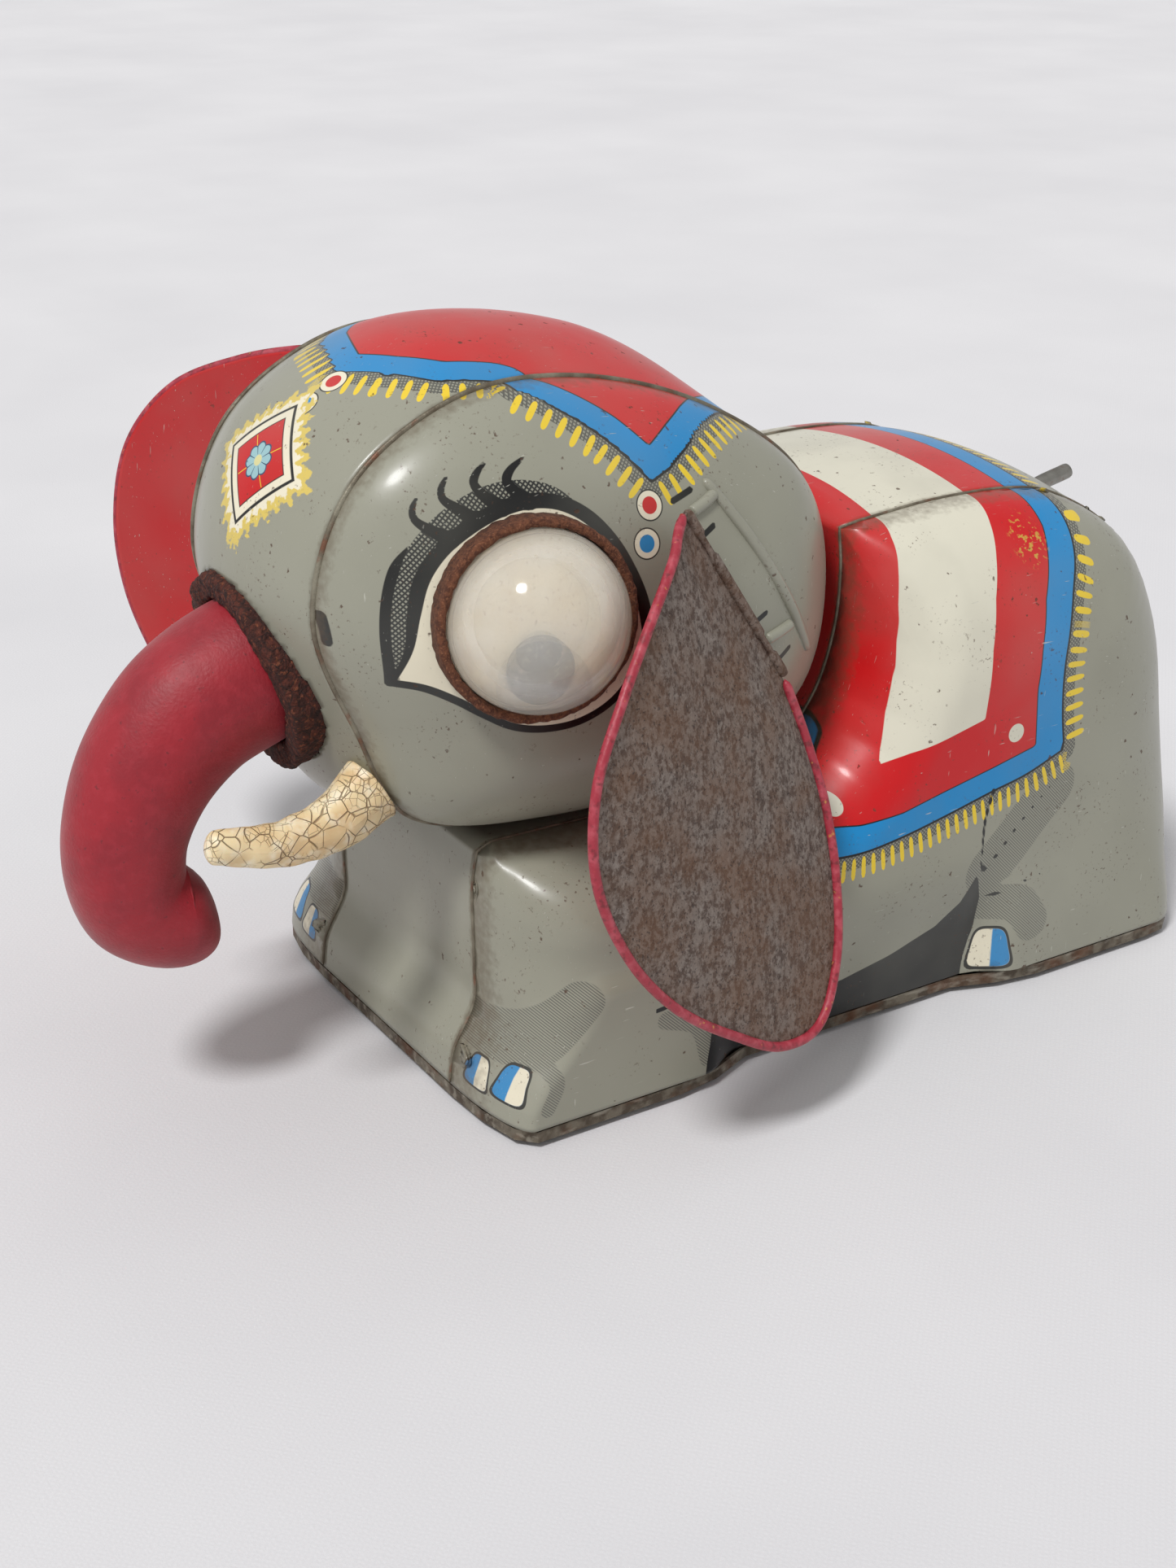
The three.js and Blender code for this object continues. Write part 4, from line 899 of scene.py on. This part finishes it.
def diamond(finish):
    """The printed jewel on the forehead: a red diamond with a flower, in a frayed yellow edge."""
    across = finish.x - PRINT_SHIFT
    up = (finish.y + 15.4) * 0.556 + (finish.z - 94.0) * 0.831
    outward = across.math("ABSOLUTE") / 8.2 + up.math("ABSOLUTE") / 8.6
    angle = up.math("ARCTAN2", across)
    spikes = (angle * 27).math("SINE") * 0.1 + finish.noise(0.7, 1, (1, 1, 1)) * 0.5
    finish.over(ink(214, 190, 96), (outward + spikes * 0.9).below(1.66, 0.03) * outward.above(1.0))
    finish.over(CREAM, (outward + spikes * 0.8).below(1.42, 0.03) * outward.above(1.0))
    finish.over(BLACK, outward.below(1.06, 0.01))
    finish.over(CREAM, outward.below(0.98, 0.01))
    finish.over(BLACK, outward.below(0.79, 0.01))
    finish.over(RED, outward.below(0.76, 0.01))
    crossing = (across.math("ABSOLUTE") * 0.9 - up.math("ABSOLUTE")).math("ABSOLUTE")
    finish.over(YELLOW, crossing.below(0.09, 0.04) * outward.below(0.74, 0.01))
    away = (across.math("POWER", 2) + up.math("POWER", 2)).math("SQRT")
    petals = (angle * 4).math("SINE").math("ABSOLUTE") * 0.5
    finish.over(ink(26, 62, 96), (away - petals).below(2.35, 0.06))
    finish.over(ink(150, 190, 196), (away - petals).below(2.1, 0.06))
    spokes = (angle * 4).math("SINE").math("ABSOLUTE").below(0.16, 0.05)
    finish.over(ink(26, 62, 96), spokes * away.between(0.9, 2.2))
    finish.over(ink(214, 208, 150), away.below(0.8, 0.05))


head_side_print = head_finish("litho_head_side", True)
head_strip_print = head_finish("litho_head_strip", False)
for side, name in ((1, "left"), (-1, "right")):
    shape = head_side(side)
    open_where(shape, lambda p: (off_eye(p)[0] < EYE_RING - 0.9) & (off_eye(p)[1] > -8))
    cheek = finish_mesh(shape, f"head_panel_{name}", "head", (f"head_side_{name}",))
    print_head(cheek)
    print_eye(cheek)
    wall(cheek)
    paint(cheek, head_side_print)

trunk_path = curve_through(
    [(0, -HEAD_OVERHANG - forward, HEAD_BOTTOM + up) for forward, up in (
        (-3.5, 24), (3, 22.2), (10.5, 18.5), (17.5, 11), (21.5, 1), (20.6, -7.5), (15.4, -11.0), (9.6, -9.8))],
    150,
)
TRUNK_AXIS = (trunk_path[1] - trunk_path[0]) / np.linalg.norm(trunk_path[1] - trunk_path[0])


def off_trunk(points):
    reach = points - trunk_path[0]
    along = reach @ TRUNK_AXIS
    return np.linalg.norm(reach - along[:, None] * TRUNK_AXIS, axis=1)


throat_line = head_line[: int(HEAD_STEPS * 29 / 38) + 1]
shape = strip(throat_line, HEAD_HALF - SIDE_GAP, lambda y, z: lerp(4.5, 0.8, smooth(32.5, 61.1, y)))
open_where(shape, lambda p: (off_trunk(p) < 14.7) & (p[:, 1] < 20))
head_strip = finish_mesh(shape, "head_strip", "head", ("head_centre_strip",))
print_head(head_strip)
wall(head_strip)
paint(head_strip, head_strip_print)

for side, name in ((1, "left"), (-1, "right")):
    path = np.column_stack([np.full(len(head_line), side * HEAD_HALF), head_line])
    seam = finish_mesh(swept(path, lambda u: np.full(len(u), 0.5), 14, flat=0.85), f"head_seam_{name}", "head")
    paint(seam, hem)

# ---- Trunk, collar and tusks ----
def trunk_radius(share):
    taper = lerp(10.8, 8.3, smooth(0.1, 0.8, share))
    blunt = np.sqrt(np.maximum(0, 1 - np.maximum(0, (share - 0.9) / 0.1) ** 2.2))
    return taper * blunt * np.minimum(1, share / 0.004)


shape = swept(trunk_path, trunk_radius, 72)
roughen(shape, 0.14, 9)
trunk = finish_mesh(shape, "rubber_trunk", "head", ("trunk",))
rubber = Finish("trunk_rubber", roughness=0.5, Sheen_Weight=0.15, Sheen_Roughness=0.5)
rubber.over(ink(152, 14, 32))
rubber.over(ink(122, 10, 28), rubber.noise(7, 4).above(0.52, 0.12) * 0.5)
rubber.over(ink(176, 44, 58), rubber.noise(1.6, 4).above(0.58, 0.08) * 0.2)
rubber.over(ink(70, 12, 20), rubber.noise(0.8, 3).above(0.69, 0.04) * 0.5)
paint(trunk, rubber.done(rubber.noise(0.5, 4), 0.07, 0.42 + rubber.noise(3, 3) * 0.22))

COLLAR_INNER = 11.1
COLLAR_OUTER = 14.8
COLLAR_FRONT = 5.6
corner = [math.radians(a) for a in range(0, 91, 18)]
collar_profile = [(COLLAR_OUTER - 0.8 + 0.8 * math.cos(a), COLLAR_FRONT - 0.8 + 0.8 * math.sin(a)) for a in corner]
collar_profile += [(COLLAR_INNER + 0.6 - 0.6 * math.sin(a), COLLAR_FRONT - 0.6 + 0.6 * math.cos(a)) for a in corner]
for height in (3.9, 2.6, 1.3, -1.5):
    collar_profile.append((COLLAR_INNER, height))
collar_profile += [(COLLAR_OUTER, -1.5)] + [(COLLAR_OUTER, h) for h in (0, 1.3, 2.6, 3.9)] + collar_profile[:1]
shape = turned(collar_profile, trunk_path[0] + 0.2 * TRUNK_AXIS, TRUNK_AXIS, 180)
bmesh.ops.remove_doubles(shape, verts=shape.verts, dist=2e-6)
roughen(shape, 0.3, 0.9)
roughen(shape, 0.5, 6)
collar = finish_mesh(shape, "crumbling_collar", "head", ("trunk_collar",))
crumb = Finish("collar_rubber", roughness=0.9)
crumb.over(ink(84, 38, 26))
crumb.over(ink(48, 20, 14), crumb.noise(1.1, 4).above(0.5, 0.06) * 0.8)
crumb.over(ink(132, 74, 48), crumb.noise(0.6, 3).above(0.62, 0.04) * 0.7)
crumb.over(ink(24, 14, 12), crumb.cracks(1.6).below(0.06, 0.03) * 0.6)
paint(collar, crumb.done(crumb.noise(0.5, 4) * 1.2 + crumb.noise(1.6, 3), 0.5))

ivory = Finish("tusk_ivory", roughness=0.4, Subsurface_Weight=0.06, Subsurface_Scale=0.002)
ivory.over(ink(236, 216, 172))
ivory.over(ink(206, 166, 112), ivory.noise(5, 3).above(0.5, 0.16) * 0.6)
ivory.over(ink(246, 238, 214), ivory.noise(2.4, 2).above(0.58, 0.1) * 0.6)
crazing = ivory.cracks(2.4).below(0.018, 0.014) * ivory.noise(4, 2).above(0.42, 0.08)
fine_crazing = ivory.cracks(1.1).below(0.016, 0.014) * ivory.noise(6, 2).above(0.5, 0.05) * 0.6
cracked = crazing.most(fine_crazing)
ivory.over(ink(112, 72, 40), cracked * 0.7)
ivory_finish = ivory.done(cracked * -1.0 + ivory.noise(1.8, 3) * 0.3, 0.22, 0.36 + ivory.noise(3, 3) * 0.2)
for side, name in ((1, "left"), (-1, "right")):
    root = np.array([side * 17.6, -HEAD_OVERHANG + 8.4, HEAD_BOTTOM + 9.2])
    bend = [(0, 0, 0), (side * 1.2, -6, -3), (side * 1.6, -14, -4.2), (side * 0.6, -25.4, -2.6)]
    path = curve_through([root + move for move in bend], 90)

    def tusk_radius(share):
        blunt = np.sqrt(np.maximum(0, 1 - np.maximum(0, (share - 0.95) / 0.05) ** 2))
        return lerp(5.3, 2.3, share**0.75) * blunt * np.minimum(1, share / 0.01)

    shape = swept(path, tusk_radius, 40, flat=0.82)
    roughen(shape, 0.22, 2.5)
    tusk = finish_mesh(shape, f"ivory_tusk_{name}", "head", (f"tusk_{name}",))
    paint(tusk, ivory_finish)

# ---- Eyes ----
felt = Finish("eye_felt", roughness=0.95)
felt.over(ink(110, 66, 44))
felt.over(ink(70, 38, 26), felt.noise(0.7, 4).above(0.5, 0.1) * 0.8)
felt.over(ink(150, 100, 70), felt.noise(0.3, 3).above(0.6, 0.06) * 0.5)
felt_finish = felt.done(felt.noise(0.25, 4), 0.3)
card = Finish("eye_card", roughness=0.6)
card.over(ink(240, 230, 206))
card.over(ink(214, 190, 146), card.noise(6, 4).above(0.5, 0.14) * 0.6)
card.over(ink(120, 84, 50), card.noise(0.5, 3).above(0.66, 0.04) * 0.5)
card_finish = card.done(card.noise(2, 3), 0.1)
glaze = Finish("eye_dome", roughness=0.06, IOR=1.4, Transmission_Weight=0.5, Alpha=0.45)
glaze.over(ink(252, 250, 244))
glaze.over(ink(248, 238, 216), glaze.noise(6, 3).above(0.5, 0.2) * 0.5)
glaze.over(ink(220, 196, 150), glaze.noise(0.6, 3).above(0.68, 0.04) * 0.4)
glaze_finish = glaze.done(glaze.noise(4, 3), 0.03, 0.03 + glaze.noise(3, 4) * 0.08)
iris = Finish("pupil_disc", roughness=0.5)
iris.over(ink(44, 46, 50))
iris.over(ink(20, 21, 23), iris.noise(1.4, 4).above(0.52, 0.08) * 0.8)
iris.over(ink(140, 136, 126), iris.noise(0.7, 4).above(0.62, 0.05) * 0.7)
for mirror in (1, -1):
    worn_spot = iris.off(mirror * 34.6, 8.4, 70.4) + iris.noise(1.2, 3) * 1.6
    iris.over(ink(200, 184, 150), worn_spot.below(2.6, 0.5) * 0.85)
iris_finish = iris.done(iris.noise(0.9, 3), 0.1)
DOME = 12.5
PUPIL = 4.7


def arc(radius, start, end, steps):
    return [
        (abs(radius * math.cos(a)), radius * math.sin(a))
        for a in (math.radians(lerp(start, end, k / steps)) for k in range(steps + 1))
    ]


for side, name in ((1, "left"), (-1, "right")):
    axis = EYE_AXIS * (side, 1, 1)
    seat = EYE_SEAT * (side, 1, 1)
    dome_profile = arc(DOME - 0.1, 0, 90, 28) + arc(DOME - 0.8, 90, 0, 28) + [(DOME - 0.1, 0)]
    dome = finish_mesh(turned(dome_profile, seat, axis), f"clear_dome_{name}", "head", (f"eye_dome_{name}",))
    paint(dome, glaze_finish)
    ring_profile = [(DOME + 0.1, -2.2), (EYE_RING, -2.2), (EYE_RING, 0.5)]
    ring_profile += [(EYE_RING - 0.65 + 0.65 * math.cos(a), 0.7 + 0.6 * math.sin(a)) for a in np.linspace(0.1, 3.04, 9)]
    ring_profile += [(DOME + 0.1, 0.5), (DOME + 0.1, -2.2)]
    shape = turned(ring_profile, seat, axis, 160)
    bmesh.ops.remove_doubles(shape, verts=shape.verts, dist=2e-6)
    roughen(shape, 0.25, 0.9)
    ring = finish_mesh(shape, f"felt_ring_{name}", "head", (f"eye_ring_{name}",))
    paint(ring, felt_finish)
    card_profile = [(0, -0.9), (DOME - 0.1, -0.9), (DOME - 0.1, -0.35), (9, -0.42), (4, -0.5), (0, -0.5)]
    backing = finish_mesh(turned(card_profile, seat, axis), f"eye_card_{name}", "head", (f"eye_backing_{name}",))
    paint(backing, card_finish)
    down = np.array([0, 0, -1.0]) + axis * axis[2]
    down /= np.linalg.norm(down)
    pupil_seat = seat + down * 6.6 + axis * 0.4
    pupil_profile = [(0, 0), (PUPIL, 0), (PUPIL, 0.55), (PUPIL - 0.25, 0.8), (2, 0.86), (0, 0.86)]
    pupil = finish_mesh(turned(pupil_profile, pupil_seat, axis, 64), f"loose_pupil_{name}", f"{name}_pupil", (f"pupil_{name}",), 40)
    paint(pupil, iris_finish)

# ---- Ears ----
ear_outline = curve_through(
    [(0.5, 0.6), (1.6, 9), (3, 18.5), (5.4, 27.8), (10.5, 39), (20, 46.6), (33, 49.4), (46, 48.2),
     (58, 43.8), (67.5, 38.6), (71.5, 32), (68, 23), (59, 13.6), (50, 7.4), (42, 3.2), (32.7, 0.6)],
    220,
)
EAR_CENTRE = np.array([30.0, 24.0])


def ear_bulge(b):
    return 3 * (1 - ((b - 24) / 25) ** 2) * smooth(0, 8, b)


class EarPlace:
    """An ear's own frame: a runs down its hinge wire, b runs out from it."""

    def __init__(self, side, top, slope, swing):
        self.side = side
        self.top = np.array(top)
        slope, swing = math.radians(slope), math.radians(swing)
        self.down = np.array([0, math.cos(slope), -math.sin(slope)])
        forward = np.array([0, self.down[2], -self.down[1]])
        self.reach = forward * math.cos(swing) + np.array([side, 0, 0]) * math.sin(swing)
        away = np.cross(self.down, self.reach)
        self.away = away if away[0] * side >= 0 else -away

    def at(self, a, b, lift=0.0):
        spots = np.outer(a, self.down) + np.outer(b, self.reach)
        return self.top + spots + np.outer(ear_bulge(b) + lift, self.away)


ears = {
    "left": EarPlace(1, (38.9, 27.6, 90.5), 57.4, 22.5),
    "right": EarPlace(-1, (-39.526, 26.0248, 95.5802), 92, 49),
}

bare = Finish("ear_bare_tin", roughness=0.6, metallic=0.25)
bare.over(ink(124, 112, 104))
bare.over(ink(66, 46, 36), bare.noise(1.1, 5, (1, 1, 1.4), 0.7).above(0.5, 0.05) * 0.75)
bare.over(ink(150, 140, 132), bare.noise(0.8, 5, rough=0.7).above(0.56, 0.05) * 0.5)
bare.over(ink(108, 70, 40), bare.noise(8, 4).above(0.5, 0.12) * 0.45)
bare.over(ink(40, 28, 24), bare.noise(0.45, 4).above(0.62, 0.03) * 0.6)
bare_finish = bare.done(bare.noise(0.7, 5) + bare.noise(5, 2) * 0.6, 0.14, 0.5 + bare.noise(1.5, 4) * 0.35)
scarlet = Finish("ear_red_paint", Coat_Weight=0.3, Coat_Roughness=0.1)
scarlet.over(ink(186, 6, 12))
scarlet_finish = worn(scarlet, specks=0.7)
crimson = Finish("ear_rolled_edge", roughness=0.45)
crimson.over(ink(158, 42, 58))
crimson.over(ink(200, 96, 108), crimson.noise(1.6, 4).above(0.56, 0.08) * 0.4)
crimson.over(ink(86, 30, 32), crimson.noise(1.1, 4).above(0.6, 0.05) * 0.6)
crimson.over(ink(196, 140, 70), crimson.noise(0.9, 4).above(0.69, 0.03) * 0.7)
crimson_finish = crimson.done(crimson.noise(0.8, 3), 0.1, 0.35 + crimson.noise(2, 3) * 0.25)

for name, ear in ears.items():
    straight = lerp(ear_outline[-1], ear_outline[0], np.linspace(0, 1, 60)[:, None])
    around = np.vstack([ear_outline, straight[1:]])

    def place(u, v, ear=ear, around=around):
        spots = lerp(sample(around, u), EAR_CENTRE, v[:, None])
        dents = 0.25 * np.sin(spots[:, 0] / 5.1 + 1) * np.sin(spots[:, 1] / 6.3) * (1 - v) * v * 4
        return ear.at(spots[:, 0], spots[:, 1], dents)

    shape = mapped_grid(len(around) - 1, 50, place)
    flap = finish_mesh(shape, f"ear_flap_{name}", f"{name}_ear", (f"ear_{name}",))
    normals = np.empty(len(flap.data.polygons) * 3)
    flap.data.polygons.foreach_get("normal", normals)
    outward = float(normals.reshape(-1, 3).mean(axis=0) @ ear.away) > 0
    sheet_wall = flap.modifiers.new("wall", "SOLIDIFY")
    sheet_wall.thickness = TIN * MM
    sheet_wall.offset = -1 if outward else 1
    sheet_wall.material_offset = 1
    sheet_wall.material_offset_rim = 1
    paint(flap, *((bare_finish, scarlet_finish) if outward else (scarlet_finish, bare_finish)))
    rolled = ear.at(ear_outline[:, 0], ear_outline[:, 1], 0.25)

    def roll(u):
        return 0.7 * np.minimum(1, np.minimum(u, 1 - u) / 0.006)

    edge = finish_mesh(swept(rolled, roll, 16), f"ear_edge_{name}", f"{name}_ear")
    paint(edge, crimson_finish)
    pin = ear.top + np.outer(np.linspace(0.4, EAR_HINGE - 0.4, 60), ear.down)

    def knuckles(u):
        along = u * EAR_HINGE
        open_gap = (np.abs(along - 0.2 * EAR_HINGE) < 2) | (np.abs(along - 0.8 * EAR_HINGE) < 2)
        return np.where(open_gap, 0.5, 0.8) * np.minimum(1, np.minimum(u, 1 - u) / 0.02)

    curl = finish_mesh(swept(pin, knuckles, 20), f"ear_hinge_{name}", f"{name}_ear")
    paint(curl, bare_finish)

# ---- Plain tin, steel and brass ----
def metal_finish(name, colour, dark, rough, metallic=1.0, rust=0.3):
    finish = Finish(name, roughness=rough, metallic=metallic)
    finish.over(ink(*colour))
    finish.over(ink(*dark), finish.noise(4, 4).above(0.52, 0.12) * 0.6)
    finish.over(ink(118, 66, 34), finish.noise(1.4, 5).above(0.64, 0.05) * rust)
    brushed = finish.noise(0.3, 2, (1, 12, 1))
    return finish.done(brushed + finish.noise(1.2, 4), 0.04, rough + finish.noise(3, 3) * 0.2)


tray_tin = Finish("tray_bare_tin", roughness=0.5, metallic=0.6)
tray_tin.over(ink(120, 112, 98))
tray_tin.over(ink(62, 48, 36), tray_tin.noise(2.6, 5).above(0.5, 0.08) * 0.7)
tray_tin.over(ink(172, 166, 152), tray_tin.noise(1.2, 4, (1, 4, 1)).above(0.58, 0.06) * 0.5)
tray_tin.over(ink(104, 60, 32), tray_tin.noise(5, 4).above(0.58, 0.08) * 0.6)
tray_tin_finish = tray_tin.done(tray_tin.noise(0.8, 4), 0.12, 0.42 + tray_tin.noise(2, 3) * 0.3)
steel = metal_finish("works_steel", (150, 148, 142), (92, 86, 78), 0.32)
brass = metal_finish("works_brass", (196, 160, 92), (130, 98, 50), 0.3, rust=0.1)
blued = metal_finish("blued_spring", (70, 76, 92), (34, 36, 44), 0.28, rust=0.1)
bright = metal_finish("key_steel", (178, 176, 170), (110, 102, 92), 0.26)
grey_tab = Finish("grey_tab", Coat_Weight=0.2)
grey_tab.over(GREY)
grey_tab_finish = worn(grey_tab)

slot_finishes = {
    "bare_tin": tray_tin_finish,
    "works_steel": steel,
    "works_brass": brass,
    "spring_steel": blued,
    "key_steel": bright,
    "grey_tin": grey_tab_finish,
}
slots = {part["node"]: part["material_slot"] for part in frame["record"]["subparts"]}
for node, piece in frame["nodes"].items():
    if slots.get(node) in slot_finishes:
        paint(piece, slot_finishes[slots[node]])

# ---- Lever wire ----
wire_path = curve_through([(0, 103, 46), (0, 108, 51), (0, 115, 58), (0, 123.5, 66), (0, 133.3, 68.7)], 90)
shape = swept(wire_path, lambda u: 1.3 * np.minimum(1, np.minimum(u, 1 - u) / 0.012), 24)
lever = finish_mesh(shape, "lever_wire", "start_stop", ("start_stop_lever",))
paint(lever, steel)

# ---- Hinge ribs pressed in the head ----
ribs = {
    "long": [(31.6, 35.6, 91.3), (32.6, 42, 82.5), (32.2, 49, 72), (30.4, 55.5, 62)],
    "top": [(34.4, 32.2, 87.7), (33.6, 34.8, 88.4), (32.6, 37, 89.2)],
    "low": [(35.4, 44.4, 67.4), (34.6, 47.2, 67.8), (33.6, 49.8, 68.2)],
}
for side, name in ((1, "left"), (-1, "right")):
    for label, points in ribs.items():
        lifted = [(side * (head_surface(y, z) + 0.05), y, z) for _, y, z in points]
        path = curve_through(lifted, 60)
        ridge = finish_mesh(
            swept(path, lambda u: 0.85 * np.sqrt(np.clip(1 - (2 * u - 1) ** 20, 0, 1)), 16),
            f"hinge_rib_{label}_{name}", "head",
        )
        if label != "long":
            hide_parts(f"ear_strap_{name}_{label}")
        paint(ridge, grey_tab_finish)

# ---- Camera, floor and light ----
camera_data = bpy.data.cameras.new("camera")
camera = bpy.data.objects.new("camera", camera_data)
bpy.context.collection.objects.link(camera)
camera_data.lens = 54.18
camera_data.sensor_width = 36
camera_data.clip_start = 0.01
camera_data.clip_end = 20
back = Vector((0.7717, -0.4822, 0.4147))
camera.location = (0.2842, -0.2075, 0.1860)
camera.rotation_euler = back.to_track_quat("Z", "Y").to_euler()
bpy.context.scene.camera = camera

floor_shape = bmesh.new()
bmesh.ops.create_grid(floor_shape, x_segments=2, y_segments=2, size=4)
floor_mesh = bpy.data.meshes.new("floor")
floor_shape.to_mesh(floor_mesh)
floor_shape.free()
floor = bpy.data.objects.new("floor", floor_mesh)
bpy.context.collection.objects.link(floor)
floor.location = (0, 0, -0.001)
linen = Finish("floor_cloth", roughness=0.85)
linen.over(ink(222, 221, 223))
linen.over(ink(206, 205, 208), linen.noise(90, 3).above(0.5, 0.2) * 0.5)
linen.over(ink(200, 198, 200), screen(linen.x, linen.y, 0.7, 0.1) * 0.12)
paint(floor, linen.done(linen.noise(0.5, 2), 0.05))


def lamp(name, kind, strength, direction, size):
    data = bpy.data.lights.new(name, kind)
    data.energy = strength
    piece = bpy.data.objects.new(name, data)
    bpy.context.collection.objects.link(piece)
    piece.rotation_euler = Vector(direction).to_track_quat("Z", "Y").to_euler()
    data.angle = size
    return piece


lamp("window", "SUN", 2.1, (0.25, -0.5, 0.85), 0.2)
world = bpy.data.worlds.new("room")
bpy.context.scene.world = world
world.use_nodes = True
world.node_tree.nodes["Background"].inputs["Color"].default_value = (1, 1, 1, 1)
world.node_tree.nodes["Background"].inputs["Strength"].default_value = 0.55

bpy.context.scene.view_settings.view_transform = "Standard"
